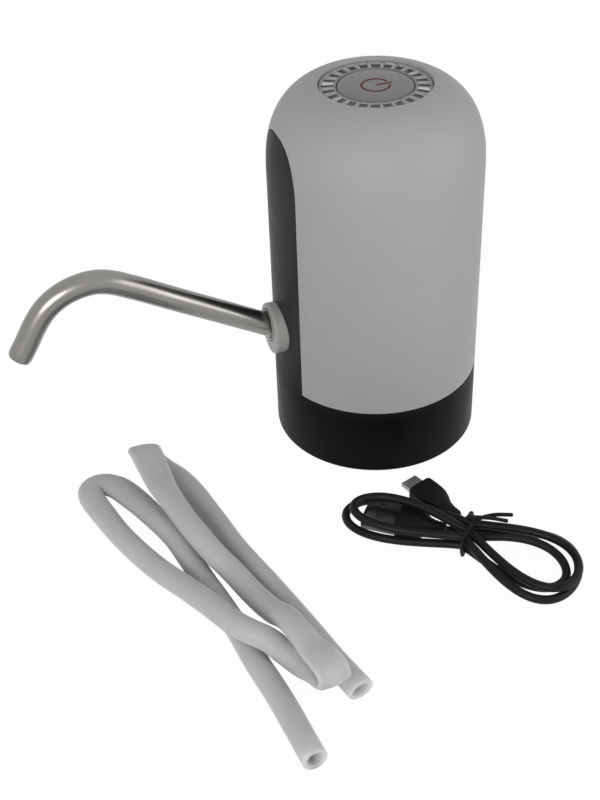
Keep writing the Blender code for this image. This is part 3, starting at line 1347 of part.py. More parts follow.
def small_plug():
    place = plug_matrix(PLUG_M, PLUG_M_Z)
    grip = loose(loft("micro_usb_grip", GRIP_M, "black_rubber"))
    grip.matrix_world = place
    depth, wide, high, wall = SHELL_M
    shift = Matrix.Translation((0, 0, GRIP_M[-1][0] + FIT_GAP + depth / 2))
    corner = high * MICRO_CORNER_SHARE
    side, top = wide / 2, high / 2
    half = [(side - corner, -top), (side, corner - top), (side, top)]
    outline = half + [(-x, y) for x, y in half[::-1]]
    shell = loose(plate("micro_usb_shell", [outline], 0, depth, "polished_steel"))
    shell.matrix_world = place @ shift
    room = loose(box("micro_usb_room", (wide - 2 * wall - corner, high - 3 * wall, depth), (0, 0, 0)))
    room.matrix_world = place @ shift @ Matrix.Translation((0, 0, 2 * wall))
    cut(shell, room)


def tie():
    points = [hank_place(*place) for place in TIE_POINTS]
    loose(tube("twist_tie", smooth(points, TIE_STEP), TIE_RADIUS, WIRE_ROUND_STEPS, "black_plastic"))


clear_scene()
PARTS = collection("bottled_water_pump")
CUTTERS = collection("cutters")
CUTTERS.hide_render = True
BODY = bpy.data.objects.new("body_axis", None)
BODY.location = (BODY_X, 0, 0)
PARTS.objects.link(BODY)

outer_shell()
base_housing()
button()
control_board()
charging_board()
usb_port()
shell_screws()
battery_cradle()
battery_cell()
motor()
gears()
pump_body()
pump_cover()
hose_nozzle()
inlet_tube()
outlet_tube()
collar()
spout_sleeve()
spout()
hose()
charging_lead()
large_plug()
small_plug()
tie()
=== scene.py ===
"""Bottled water pump: finer pieces, finishes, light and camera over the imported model."""

import json
import math

import bmesh
import bpy
import numpy as np
from mathutils import Matrix, Vector

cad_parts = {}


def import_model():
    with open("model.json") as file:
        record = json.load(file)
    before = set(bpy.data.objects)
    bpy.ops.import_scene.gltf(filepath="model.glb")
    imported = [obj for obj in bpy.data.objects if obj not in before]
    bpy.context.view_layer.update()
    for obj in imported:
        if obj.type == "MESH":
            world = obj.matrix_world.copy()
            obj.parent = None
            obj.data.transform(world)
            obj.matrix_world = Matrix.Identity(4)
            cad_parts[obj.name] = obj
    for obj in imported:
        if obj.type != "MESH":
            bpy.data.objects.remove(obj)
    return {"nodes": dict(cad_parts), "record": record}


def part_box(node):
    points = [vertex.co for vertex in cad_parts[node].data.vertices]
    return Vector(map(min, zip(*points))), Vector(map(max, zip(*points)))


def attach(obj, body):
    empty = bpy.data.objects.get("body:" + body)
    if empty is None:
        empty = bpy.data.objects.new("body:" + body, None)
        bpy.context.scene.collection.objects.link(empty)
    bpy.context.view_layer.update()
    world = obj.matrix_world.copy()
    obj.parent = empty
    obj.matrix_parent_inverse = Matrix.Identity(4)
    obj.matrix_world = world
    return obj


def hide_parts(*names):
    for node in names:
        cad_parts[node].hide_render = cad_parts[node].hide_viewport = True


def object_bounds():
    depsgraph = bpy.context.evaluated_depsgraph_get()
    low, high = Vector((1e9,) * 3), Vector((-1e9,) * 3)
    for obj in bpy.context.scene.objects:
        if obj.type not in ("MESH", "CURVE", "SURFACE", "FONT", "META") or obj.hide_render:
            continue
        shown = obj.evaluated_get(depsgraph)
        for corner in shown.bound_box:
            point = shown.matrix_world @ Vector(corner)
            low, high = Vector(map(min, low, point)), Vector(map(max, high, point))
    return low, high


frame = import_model()
start_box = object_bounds()

# Sizes in metres. Places come from the frame's own pieces.
WALL = 0.0020
EDGE = 0.0008
SKIRT_WALL = 0.0022
SKIRT_ROOF_Z = 0.0210
SOCKET_RADIUS = 0.0285
SOCKET_LIFT = 0.0015
SOCKET_CEILING_Z = 0.0250
DECK_Z = 0.0280
NOZZLE_HOLE = 0.0041
PANEL_STOP_RADIUS = 0.0300
SEAM = 0.0003
SOFT_EDGE = 0.0005
DOME_START_Z = 0.1058
DOME_TOP_Z = 0.1373
DOME_FLAT_RADIUS = 0.0095
PANEL_HALF_WIDTH = 0.0153
PANEL_SPRING_Z = 0.1050
PANEL_TOP_Z = 0.1234
CAP_RADIUS = 0.0130
CAP_LIP = 0.0015
CAP_LIP_RISE = 0.0012
CAP_WALL = 0.0022
CAP_STEM = 0.0025
RIM_WIDTH = 0.0009
FACET_IN = 0.0138
FACET_OUT = 0.0182
FACET_DROP = 0.0008
RIB_WIDTH = 0.0009
MARK_RADIUS = 0.0047
MARK_WIDTH = 0.0008
MARK_RISE = 0.00008
SPOUT_RADIUS = 0.0042
SPOUT_WALL = 0.0006
SPOUT_DEGREES = 29.6
SPOUT_FOOT = (0.0400, 0.0491)
SPOUT_INSERT = 0.0150
HOSE_RADIUS = 0.0040
HOSE_WALL = 0.0013
LEAD_RADIUS = 0.0015
TIE_RADIUS = 0.0007
TIE_AT = (0.0496, -0.0824)
RIDGE_HEIGHT = 0.00022
RIDGE_PITCH = 0.0013
FLOOR_HALF = 3.0

# Longest steps along smoothed lines
SPOUT_STEP = 0.0015
HOSE_STEP = 0.0016
LEAD_STEP = 0.0013
TIE_STEP = 0.0006
OUTLET_STEP = 0.0012
GRIP_STEP = 0.0003
COLLAR_STEP = 0.0004

# Counts and shares
BODY_SIDES = 160
DOME_RINGS = 28
ARCH_POINTS = 56
SEGMENTS = 24
CAP_SIDES = 96
COLLAR_SIDES = 72
SPOUT_SIDES = 40
BORE_SIDES = 48
TIE_SIDES = 10
TUBE_SIDES = 28
LEAD_SIDES = 14
GRIP_SIDES = 44
LOOP_POINTS = 24
DOME_POWER = 2.6
PANEL_POWER = 2.4
LOBE_POWER = 1.5
SLOT_POWER = 2
STACK_POWER = 2.50
HANK_DEGREES = -44
SLOT_Z = 0.0033
MARK_GAP_DEGREES = 34
SHARP_DEGREES = 32
STEEP_SHARE = 0.3
PORT_POWER = 4

# Distance from the body's axis, and height, of the spout's centre line beyond the collar.
SPOUT_POINTS = (
    (0.0550, 0.0577),
    (0.0650, 0.0634),
    (0.0750, 0.0691),
    (0.0841, 0.0744),
    (0.0890, 0.0771),
    (0.0940, 0.0797),
    (0.0982, 0.0812),
    (0.1026, 0.0817),
    (0.1070, 0.0811),
    (0.1112, 0.0798),
    (0.1150, 0.0778),
    (0.1182, 0.0753),
    (0.1210, 0.0721),
    (0.1236, 0.0683),
    (0.1266, 0.0631),
    (0.1300, 0.0577),
)

# The hose's centre line as it lies on the floor, from one open end to the other.
HOSE_POINTS = (
    (-0.0291, -0.1535, 0.0040),
    (-0.0316, -0.1290, 0.0040),
    (-0.0341, -0.1125, 0.0040),
    (-0.0356, -0.0985, 0.0040),
    (-0.0376, -0.0855, 0.0040),
    (-0.0401, -0.0725, 0.0040),
    (-0.0421, -0.0600, 0.0040),
    (-0.0446, -0.0470, 0.0040),
    (-0.0491, -0.0335, 0.0040),
    (-0.0531, -0.0235, 0.0040),
    (-0.0572, -0.0156, 0.0040),
    (-0.0618, -0.0119, 0.0040),
    (-0.0660, -0.0130, 0.0040),
    (-0.0671, -0.0184, 0.0040),
    (-0.0646, -0.0295, 0.0040),
    (-0.0616, -0.0405, 0.0040),
    (-0.0576, -0.0515, 0.0040),
    (-0.0526, -0.0640, 0.0050),
    (-0.0471, -0.0775, 0.0080),
    (-0.0426, -0.0905, 0.0115),
    (-0.0381, -0.1020, 0.0132),
    (-0.0341, -0.1075, 0.0131),
    (-0.0297, -0.1114, 0.0118),
    (-0.0256, -0.1152, 0.0084),
    (-0.0218, -0.1200, 0.0064),
    (-0.0191, -0.1247, 0.0077),
    (-0.0174, -0.1287, 0.0088),
    (-0.0164, -0.1323, 0.0104),
    (-0.0161, -0.1340, 0.0132),
    (-0.0165, -0.1326, 0.0162),
    (-0.0178, -0.1290, 0.0175),
    (-0.0195, -0.1234, 0.0172),
    (-0.0212, -0.1160, 0.0173),
    (-0.0225, -0.1074, 0.0151),
    (-0.0246, -0.0980, 0.0101),
    (-0.0274, -0.0872, 0.0079),
    (-0.0312, -0.0750, 0.0084),
    (-0.0350, -0.0675, 0.0108),
    (-0.0381, -0.0588, 0.0125),
    (-0.0405, -0.0488, 0.0128),
    (-0.0424, -0.0365, 0.0122),
    (-0.0432, -0.0275, 0.0108),
    (-0.0437, -0.0205, 0.0112),
    (-0.0443, -0.0148, 0.0123),
    (-0.0446, -0.0108, 0.0128),
    (-0.0447, -0.0063, 0.0112),
    (-0.0440, -0.0046, 0.0080),
    (-0.0426, -0.0063, 0.0050),
    (-0.0400, -0.0110, 0.0040),
    (-0.0364, -0.0172, 0.0040),
    (-0.0325, -0.0279, 0.0040),
    (-0.0288, -0.0443, 0.0040),
    (-0.0256, -0.0615, 0.0040),
    (-0.0201, -0.0820, 0.0040),
    (-0.0149, -0.1030, 0.0040),
    (-0.0103, -0.1230, 0.0040),
    (-0.0075, -0.1335, 0.0040),
)
# Place and reach of each pinch along the hose, and how flat and how wide it becomes.
PINCHES = (
    ((-0.0162, -0.1336, 0.0132), 0.0200, 0.44, 1.42),
    ((-0.0430, -0.0060, 0.0090), 0.0450, 0.46, 1.46),
    ((-0.0075, -0.1335, 0.0040), 0.0120, 0.86, 1.10),
)

# Each loop of the hank: reach, fullness, way out, side it leaves on, rise beside the plugs
# and at the tip, and how far its tip leans sideways.
LOBES = (
    (0.0365, 0.0118, 1, 1, 0.0028, 0.0, -0.0030),
    (0.0429, 0.0117, -1, -1, 0.0, 0.0012, -0.0027),
    (0.0404, 0.0155, 1, 1, 0.0, 0.0037, -0.0036),
    (0.0389, 0.0086, -1, 1, 0.0018, 0.0080, -0.0055),
    (0.0400, 0.0202, 1, -1, 0.0, 0.0, -0.0027),
)
# Place of each pass inside the tie: sideways, and above the lowest one.
SLOTS = (
    (0.0, 0.0),
    (-0.0038, 0.0),
    (0.0038, 0.0041),
    (0.0, 0.0041),
    (-0.0040, 0.0041),
    (0.0038, 0.0),
)
LEAD_START = ((0.04485, -0.07727, 0.0041), (0.0467, -0.0786, 0.0041))
LEAD_END = ((0.0522, -0.0797, 0.0033), (0.0520, -0.0757, 0.0036), (0.05138, -0.07206, 0.0036))
TIE_POINTS = (
    (0.0128, 0.0112, 0.0094),
    (0.0074, 0.0076, 0.0104),
    (0.0034, 0.0036, 0.0105),
    (0.0022, 0.0, 0.0101),
    (0.0016, -0.0050, 0.0104),
    (0.0013, -0.0074, 0.0083),
    (0.0015, -0.0070, 0.0030),
    (0.0012, -0.0052, 0.0008),
    (0.0006, 0.0, 0.0007),
    (0.0002, 0.0051, 0.0008),
    (0.0001, 0.0068, 0.0030),
    (-0.0002, 0.0069, 0.0082),
    (-0.0001, 0.0053, 0.0104),
    (0.0000, 0.0028, 0.0110),
    (0.0006, 0.0006, 0.0128),
    (0.0032, 0.0016, 0.0128),
    (0.0076, 0.0042, 0.0118),
    (0.0124, 0.0069, 0.0100),
)

# Plugs: where the lead meets them, where they point and their height;
# then sections of place, width, height and squareness.
PLUG_A = ((0.0445, -0.0770), (0.0218, -0.0592), 0.0041)
GRIP_A = (
    (0.0, 0.0023, 0.0023, 2),
    (0.0030, 0.0025, 0.0025, 2),
    (0.0052, 0.0030, 0.0028, 2.2),
    (0.0078, 0.0048, 0.0035, 3),
    (0.0105, 0.0061, 0.0038, 4),
    (0.0130, 0.0065, 0.0038, 5),
    (0.0160, 0.0065, 0.0038, 5),
    (0.0167, 0.0060, 0.0033, 5),
)
SHELL_A = (0.0117, 0.0120, 0.0045, 0.0003)
TONGUE_A = (0.0085, 0.0018)
TONGUE_CORNER = 0.0002
CORNER_A = 0.0005
CORNER_M = 0.0004
# Latch windows in the large plug's shell: place across and along, width and length.
WINDOWS_A = (
    (0.0029, 0.0058, 0.0022, 0.0022),
    (-0.0029, 0.0058, 0.0022, 0.0022),
)
PLUG_M = ((0.0512, -0.0716), (0.0426, -0.0484), 0.0036)
GRIP_M = (
    (0.0, 0.0021, 0.0021, 2),
    (0.0034, 0.0023, 0.0023, 2),
    (0.0056, 0.0029, 0.0026, 2.2),
    (0.0082, 0.0041, 0.0032, 3),
    (0.0108, 0.0049, 0.0034, 4),
    (0.0140, 0.0051, 0.0034, 5),
    (0.0186, 0.0051, 0.0034, 5),
    (0.0193, 0.0046, 0.0029, 5),
)
SHELL_M = (0.0054, 0.00685, 0.0018, 0.00025)

# Sections of the collar: distance from the body's axis, height, half width, half height.
COLLAR_SHAPE = (
    (0.0334, 0.0479, 0.0092, 0.0094),
    (0.0356, 0.0479, 0.0092, 0.0094),
    (0.0385, 0.0479, 0.0092, 0.0094),
    (0.0400, 0.0479, 0.0092, 0.0094),
    (0.0406, 0.0479, 0.0091, 0.0093),
    (0.0409, 0.0479, 0.0088, 0.0090),
)

# The sleeve's wall and its reach along the spout, and the inner tubes' radii.
SLEEVE_WALL = 0.0008
SLEEVE_LOW = -0.0162
COLLAR_FRONT = 0.0412
BORE_REACH = 0.0100
TUBE_RADIUS = 0.0035
TUBE_WALL = 0.0012
# The outlet tube's centre line from the pump to the collar, from the body's axis.
OUTLET_POINTS = (
    (0.0, -0.0145, 0.0470),
    (0.0, -0.0193, 0.0470),
    (-0.0030, -0.0215, 0.0462),
    (-0.0121, -0.0262, 0.04356),
    (-0.02115, -0.0215, 0.0409),
    (-0.02418, -0.0136, 0.04011),
    (-0.02418, -0.0074, 0.04011),
)

# The span of a noise pattern that shows, how much roughness follows it, and the depth of fine marks.
PATTERN_SPAN = (0.3, 0.7)
ROUGH_SHARE = 0.12
GRAIN_DEPTH = 0.00008
STREAK_SCALE = 900
STREAK_STRETCH = (0.06, 1, 0.06)
STREAK_BUMP = 0.05
STREAK_DEPTH = 0.00003

# The base's own black, the panel's colour with a painted sheen (the panel is the same black plastic,
# drawn lighter for the side light on it), and the heights the one fades into the other between.
PANEL_SHEEN_FADE = (0.0230, 0.0480)
BASE_COLOUR = (0.0030, 0.0030, 0.0032)
PANEL_SHEEN_COLOUR = (0.030, 0.030, 0.031)

# The camera, fitted to the photograph, and the light.
CAMERA_AT = (-0.1035, -0.3943, 0.3296)
CAMERA_YAW = 17.08
CAMERA_DIP = 37.56
CAMERA_ROLL = -2.22
CAMERA_LENS = 61.8
SENSOR = 36.0
WORLD_LEVEL = 0.48
FLOOR_WHITE = 0.965
LAMP_AIM = (0.02, -0.03, 0.05)
KEY_AT = (-0.7, -0.9, 0.55)
KEY_SIZE = 0.7
KEY_WATTS = 7.6
FILL_AT = (0.9, -0.6, 0.4)
FILL_SIZE = 0.8
FILL_WATTS = 4.4


def corners(node):
    low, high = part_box(node)
    return Vector(low), Vector(high)


base_low, base_high = corners("base_housing")
shell_low, shell_high = corners("outer_shell")
ring_low, ring_high = corners("button_ring")
cap_low, cap_high = corners("button_cap")
BODY_RADIUS = (base_high.y - base_low.y) / 2
AXIS = Vector((base_high.x - BODY_RADIUS, 0, 0))
SHELL_BOTTOM_Z = shell_low.z
RING_RADIUS = (ring_high.y - ring_low.y) / 2
RING_TOP_Z = ring_high.z
CAP_TOP_Z = cap_high.z


def rounded(value, power):
    return math.copysign(abs(value) ** (2 / power), value)


def smooth(points, longest):
    """Points on a smooth curve through the given ones, no further apart than this."""
    given = np.array(points, dtype=float)
    padded = np.vstack([2 * given[0] - given[1], given, 2 * given[-1] - given[-2]])
    read = []
    for i in range(len(given) - 1):
        a, b, c, d = padded[i : i + 4]
        count = max(1, math.ceil(np.linalg.norm(c - b) / longest))
        for k in range(count):
            t = k / count
            bend = 2 * a - 5 * b + 4 * c - d
            read.append(b + (c - a) * t / 2 + bend * t**2 / 2 + (3 * b - a - 3 * c + d) * t**3 / 2)
    read.append(given[-1])
    return [Vector(point) for point in read]


# Finishes


def surface(name, colour, roughness, metallic=0.0):
    """A material whose colour, roughness and metallic value stand on its shader."""
    made = bpy.data.materials.new(name)
    made.use_nodes = True
    shader = made.node_tree.nodes["Principled BSDF"]
    shader.inputs["Base Color"].default_value = (*colour, 1.0)
    shader.inputs["Roughness"].default_value = roughness
    shader.inputs["Metallic"].default_value = metallic
    return made


def grain(made, scale, detail=3.0, stretch=(1, 1, 1)):
    """A noise pattern in the piece's own metres."""
    tree = made.node_tree
    place = tree.nodes.new("ShaderNodeTexCoord")
    mapping = tree.nodes.new("ShaderNodeMapping")
    mapping.inputs["Scale"].default_value = stretch
    noise = tree.nodes.new("ShaderNodeTexNoise")
    noise.inputs["Scale"].default_value = scale
    noise.inputs["Detail"].default_value = detail
    tree.links.new(place.outputs["Object"], mapping.inputs["Vector"])
    tree.links.new(mapping.outputs["Vector"], noise.inputs["Vector"])
    return noise.outputs["Fac"]


def tinted(made, pattern, dark, light):
    """Colours the shader between two colours by a pattern."""
    tree = made.node_tree
    ramp = tree.nodes.new("ShaderNodeValToRGB")
    ramp.color_ramp.elements[0].position = PATTERN_SPAN[0]
    ramp.color_ramp.elements[0].color = (*dark, 1.0)
    ramp.color_ramp.elements[1].position = PATTERN_SPAN[1]
    ramp.color_ramp.elements[1].color = (*light, 1.0)
    tree.links.new(pattern, ramp.inputs["Fac"])
    tree.links.new(ramp.outputs["Color"], tree.nodes["Principled BSDF"].inputs["Base Color"])


def roughened(made, pattern, low, high):
    tree = made.node_tree
    spread = tree.nodes.new("ShaderNodeMapRange")
    spread.inputs["From Min"].default_value = PATTERN_SPAN[0]
    spread.inputs["From Max"].default_value = PATTERN_SPAN[1]
    spread.inputs["To Min"].default_value = low
    spread.inputs["To Max"].default_value = high
    tree.links.new(pattern, spread.inputs["Value"])
    tree.links.new(spread.outputs["Result"], tree.nodes["Principled BSDF"].inputs["Roughness"])


def bumped(made, pattern, strength, depth):
    tree = made.node_tree
    bump = tree.nodes.new("ShaderNodeBump")
    bump.inputs["Strength"].default_value = strength
    bump.inputs["Distance"].default_value = depth
    tree.links.new(pattern, bump.inputs["Height"])
    tree.links.new(bump.outputs["Normal"], tree.nodes["Principled BSDF"].inputs["Normal"])


def softened(made, weight, reach, scale):
    """Lets light a little way into the surface."""
    shader = made.node_tree.nodes["Principled BSDF"]
    shader.inputs["Subsurface Weight"].default_value = weight
    shader.inputs["Subsurface Radius"].default_value = (reach, reach, reach)
    shader.inputs["Subsurface Scale"].default_value = scale
    return made


def scaled(colour, share):
    return tuple(part * share for part in colour)


def finish(name, colour, rough, metallic=0.0, vary=0.04, blotch=60, fine=1400, bump=0.15, gloss=0.5):
    """A finish with soft changes of colour and roughness, and a fine grain."""
    made = surface(name, colour, rough, metallic)
    made.node_tree.nodes["Principled BSDF"].inputs["Specular IOR Level"].default_value = gloss
    wide = grain(made, blotch)
    close = grain(made, fine)
    tinted(made, wide, scaled(colour, 1 - vary), scaled(colour, 1 + vary))
    roughened(made, wide, rough * (1 - ROUGH_SHARE), rough * (1 + ROUGH_SHARE))
    bumped(made, close, bump, GRAIN_DEPTH)
    return made


def shell_finish():
    made = finish("shell_finish", (0.335, 0.335, 0.325), 0.55,
                  vary=0.02, blotch=45, fine=1600, bump=0.10, gloss=0.3)
    return softened(made, 0.10, 0.002, 0.5)


def housing_finish_and_painted_sheen():
    """Black below, and greyer on the panel that rises from it: a painted sheen, since the panel is the
    same black plastic lit from the side.
    """
    made = finish("housing_finish_and_painted_sheen", BASE_COLOUR, 0.40,
                  vary=0.10, blotch=80, fine=1500, bump=0.12, gloss=0.04)
    tree = made.node_tree
    shader = tree.nodes["Principled BSDF"]
    place = tree.nodes.new("ShaderNodeTexCoord")
    parted = tree.nodes.new("ShaderNodeSeparateXYZ")
    # Painted sheen: by height, the panel is drawn lighter than the base, for side light on the same black
    # plastic.
    share = tree.nodes.new("ShaderNodeMapRange")
    share.inputs["From Min"].default_value = PANEL_SHEEN_FADE[0]
    share.inputs["From Max"].default_value = PANEL_SHEEN_FADE[1]
    mix = tree.nodes.new("ShaderNodeMix")
    mix.data_type = "RGBA"
    mix.inputs["B"].default_value = (*PANEL_SHEEN_COLOUR, 1.0)
    below = shader.inputs["Base Color"].links[0].from_socket
    tree.links.new(place.outputs["Object"], parted.inputs[0])
    tree.links.new(parted.outputs["Z"], share.inputs["Value"])
    tree.links.new(share.outputs["Result"], mix.inputs["Factor"])
    tree.links.new(below, mix.inputs["A"])
    tree.links.new(mix.outputs["Result"], shader.inputs["Base Color"])
    return made


def steel_finish():
    """Polished steel with fine marks drawn along the tube."""
    made = surface("spout_finish", (0.255, 0.246, 0.235), 0.28, 1.0)
    wide = grain(made, 70)
    streaks = grain(made, STREAK_SCALE, 2.0, STREAK_STRETCH)
    tinted(made, wide, (0.237, 0.228, 0.217), (0.275, 0.266, 0.254))
    roughened(made, streaks, 0.22, 0.34)
    bumped(made, streaks, STREAK_BUMP, STREAK_DEPTH)
    return made


def hose_finish():
    made = finish("hose_finish", (0.500, 0.495, 0.502), 0.50,
                  vary=0.03, blotch=50, fine=700, bump=0.12, gloss=0.3)
    return softened(made, 0.80, 0.009, 1.0)


def cap_finish():
    made = finish("cap_finish", (0.110, 0.109, 0.107), 0.24,
                  vary=0.03, blotch=120, fine=1800, bump=0.05, gloss=0.4)
    made.node_tree.nodes["Principled BSDF"].inputs["Coat Weight"].default_value = 0.2
    return made


SHELL = shell_finish()
BLACK = housing_finish_and_painted_sheen()
STEEL = steel_finish()
HOSE = hose_finish()
CAP = cap_finish()
CLEAR = finish("rim_finish", (0.150, 0.148, 0.142), 0.20, vary=0.06, blotch=400, bump=0.05)
FACET = finish("facet_finish", (0.016, 0.016, 0.015), 0.25, vary=0.35, blotch=260, bump=0.05)
RIB = finish("rib_finish", (0.300, 0.300, 0.290), 0.16, vary=0.08, blotch=400, bump=0.05)
MARK = finish("mark_finish", (0.085, 0.008, 0.012), 0.50,
              vary=0.08, blotch=500, bump=0.05, gloss=0.15)
COLLAR = finish("collar_finish", (0.310, 0.306, 0.294), 0.45,
                vary=0.03, blotch=150, bump=0.08, gloss=0.35)
SLEEVE = finish("sleeve_finish", (0.23, 0.23, 0.22), 0.60, vary=0.05, blotch=200, bump=0.2)
LEAD = finish("lead_finish", (0.0055, 0.0055, 0.0058), 0.45,
              vary=0.12, blotch=180, fine=1200, bump=0.2, gloss=0.15)
GRIP = finish("grip_finish", (0.0055, 0.0055, 0.0058), 0.50,
              vary=0.12, blotch=160, fine=1000, bump=0.3, gloss=0.12)
PLUG = finish("plug_finish", (0.11, 0.11, 0.107), 0.36, 1.0, vary=0.04, blotch=120, bump=0.01)
SMALL_PLUG = finish("small_plug_finish", (0.40, 0.40, 0.39), 0.50, 1.0,
                    vary=0.04, blotch=120, bump=0.01)
TONGUE = finish("tongue_finish", (0.05, 0.05, 0.05), 0.50, vary=0.08, blotch=250)
TIE = finish("tie_finish", (0.0060, 0.0060, 0.0062), 0.45,
             vary=0.10, blotch=250, bump=0.1, gloss=0.12)

SLOT_FINISHES = {
    "shell_grey": SHELL,
    "cap_grey": CAP,
    "black_housing": BLACK,
    "dark_plastic": finish("dark_plastic_finish", (0.05, 0.05, 0.055), 0.45, vary=0.08),
    "white_plastic": finish("white_plastic_finish", (0.75, 0.75, 0.73), 0.40, vary=0.02),
    "light_plastic": COLLAR,
    "clear_plastic": CLEAR,
    "clear_rubber": HOSE,
    "grey_rubber": SLEEVE,
    "black_rubber": GRIP,
    "polished_steel": STEEL,
    "plain_steel": finish("plain_steel_finish", (0.50, 0.50, 0.50), 0.32, 1.0, vary=0.06, blotch=200),
    "magnet_dark": finish("magnet_finish", (0.10, 0.10, 0.11), 0.50, 1.0, vary=0.10, blotch=200),
    "winding_copper": finish("winding_finish", (0.55, 0.25, 0.12), 0.35, 1.0, fine=2500, bump=0.4),
    "board_green": finish("board_finish", (0.02, 0.12, 0.05), 0.45, vary=0.15, blotch=250),
    "led_yellow": finish("lamp_finish", (0.75, 0.65, 0.25), 0.30, vary=0.05),
    "cell_blue": finish("cell_finish", (0.03, 0.10, 0.35), 0.35, vary=0.05),
}


# Shapes


def piece(name, shape, body, slot, nodes, *finishes):
    """Turns built geometry into a shaded piece with its finishes, and returns it with the body it will
    ride on and the CAD nodes it will stand for.
    """
    bmesh.ops.recalc_face_normals(shape, faces=shape.faces)
    mesh = bpy.data.meshes.new(name)
    shape.to_mesh(mesh)
    shape.free()
    obj = bpy.data.objects.new(name, mesh)
    bpy.context.scene.collection.objects.link(obj)
    for made in finishes:
        mesh.materials.append(made)
    return shaded(obj), (body, slot, nodes)


def shaded(obj):
    for face in obj.data.polygons:
        face.use_smooth = True
    obj.data.set_sharp_from_angle(angle=math.radians(SHARP_DEGREES))
    return obj


def seated(made, cutter=None, operation="DIFFERENCE"):
    """Carves a piece where it has a cutter, then lets it ride and stand for its nodes."""
    obj, (body, slot, nodes) = made
    if cutter:
        carve(obj, cutter, operation)
    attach(obj, body)
    if nodes:
        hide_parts(*nodes)
    return obj


def carve(obj, cutter, operation):
    step = obj.modifiers.new("carve", "BOOLEAN")
    step.operation = operation
    step.solver = "EXACT"
    step.object = cutter
    graph = bpy.context.evaluated_depsgraph_get()
    mesh = bpy.data.meshes.new_from_object(obj.evaluated_get(graph))
    obj.modifiers.clear()
    obj.data = mesh
    bpy.data.objects.remove(cutter, do_unlink=True)
    shaded(obj)


def cutter_of(shape):
    bmesh.ops.recalc_face_normals(shape, faces=shape.faces)
    mesh = bpy.data.meshes.new("cutter")
    shape.to_mesh(mesh)
    shape.free()
    obj = bpy.data.objects.new("cutter", mesh)
    bpy.context.scene.collection.objects.link(obj)
    return obj


def rings_joined(shape, rings, closed=False):
    """Faces between neighbouring rings of points; a ring of one point is a tip."""
    pairs = list(zip(rings, rings[1:]))
    if closed:
        pairs.append((rings[-1], rings[0]))
    faces = []
    for upper, lower in pairs:
        count = max(len(upper), len(lower))
        for i in range(count):
            j = (i + 1) % count
            found = [
                upper[i % len(upper)],
                lower[i % len(lower)],
                lower[j % len(lower)],
                upper[j % len(upper)],
            ]
            faces.append(shape.faces.new(list(dict.fromkeys(found))))
    return faces


def turned(profile, steps=BODY_SIDES):
    """Geometry turned about the body's axis from radius and height. A ring's profile closes on itself."""
    shape = bmesh.new()
    rings = []
    for radius, height in profile:
        ring = []
        for i in range(steps if radius > 0 else 1):
            angle = 2 * math.pi * i / steps
            out = Vector((radius * math.cos(angle), radius * math.sin(angle), height))
            ring.append(shape.verts.new(AXIS + out))
        rings.append(ring)
    rings_joined(shape, rings, closed=profile[0][0] > 0)
    return shape


def dome(inset, stop_radius):
    """The dome's profile from a radius near its top to its foot, this far inside the outer face."""
    radius = BODY_RADIUS - inset - DOME_FLAT_RADIUS
    height = DOME_TOP_Z - DOME_START_Z - inset
    share = (stop_radius - DOME_FLAT_RADIUS) / radius
    last = math.acos(share ** (DOME_POWER / 2))
    profile = []
    for i in range(DOME_RINGS, -1, -1):
        angle = last * i / DOME_RINGS
        out = DOME_FLAT_RADIUS + radius * rounded(math.cos(angle), DOME_POWER)
        up = DOME_START_Z + height * rounded(math.sin(angle), DOME_POWER)
        profile.append((out, up))
    return profile


def arch(half_width, top, low):
    points = [(half_width, low)]
    for i in range(ARCH_POINTS + 1):
        angle = math.pi * i / ARCH_POINTS
        side = half_width * rounded(math.cos(angle), PANEL_POWER)
        rise = (top - PANEL_SPRING_Z) * rounded(math.sin(angle), PANEL_POWER)
        points.append((side, PANEL_SPRING_Z + rise))
    points.append((-half_width, low))
    return points


def front_prism(outline, near, far):
    """A cutter with an outline of sideways and height, from near to far in front of the axis."""
    shape = bmesh.new()
    rings = []
    for out in (near, far):
        rings.append([shape.verts.new((AXIS.x - out, side, height)) for side, height in outline])
    rings_joined(shape, rings)
    for ring in rings:
        shape.faces.new(ring)
    return cutter_of(shape)


def swept(shape, line, sides, radius, wall=0.0, pinches=(), tip=0.0):
    """A tube along a line. Its sections keep level, each pinch makes them flatter and wider,
    and its far end is thinner by the tip's measure."""
    last = None
    outer, inner = [], []
    for i, point in enumerate(line):
        along = (line[min(i + 1, len(line) - 1)] - line[max(i - 1, 0)]).normalized()
        side = Vector((-along.y, along.x, 0))
        if last and side.length < STEEP_SHARE:
            side = last - along * last.dot(along)
        side.normalize()
        if last and side.dot(last) < 0:
            side = -side
        last = side
        up = along.cross(side)
        flat, wide = 1.0, 1.0
        for place, reach, least, most in pinches:
            far = (point - Vector(place)).length / reach
            if far < 1:
                ease = 0.5 + 0.5 * math.cos(math.pi * far)
                flat = min(flat, 1 + (least - 1) * ease)
                wide = max(wide, 1 + (most - 1) * ease)
        rim = radius - tip if i == len(line) - 1 else radius
        outer.append(section(shape, point, side, up, sides, rim * wide, rim * flat))
        if wall:
            bore = max(radius * flat - wall, wall / 6)
            inner.append(section(shape, point, side, up, sides, radius * wide - wall, bore))
    if wall:
        return rings_joined(shape, outer + inner[::-1], closed=True)
    faces = rings_joined(shape, outer)
    faces.append(shape.faces.new(outer[0]))
    faces.append(shape.faces.new(outer[-1]))
    return faces


def section(shape, centre, side, up, sides, wide, high, power=2):
    ring = []
    for i in range(sides):
        angle = 2 * math.pi * i / sides
        across = side * wide * rounded(math.cos(angle), power)
        ring.append(shape.verts.new(centre + across + up * high * rounded(math.sin(angle), power)))
    return ring


# The pump's outside


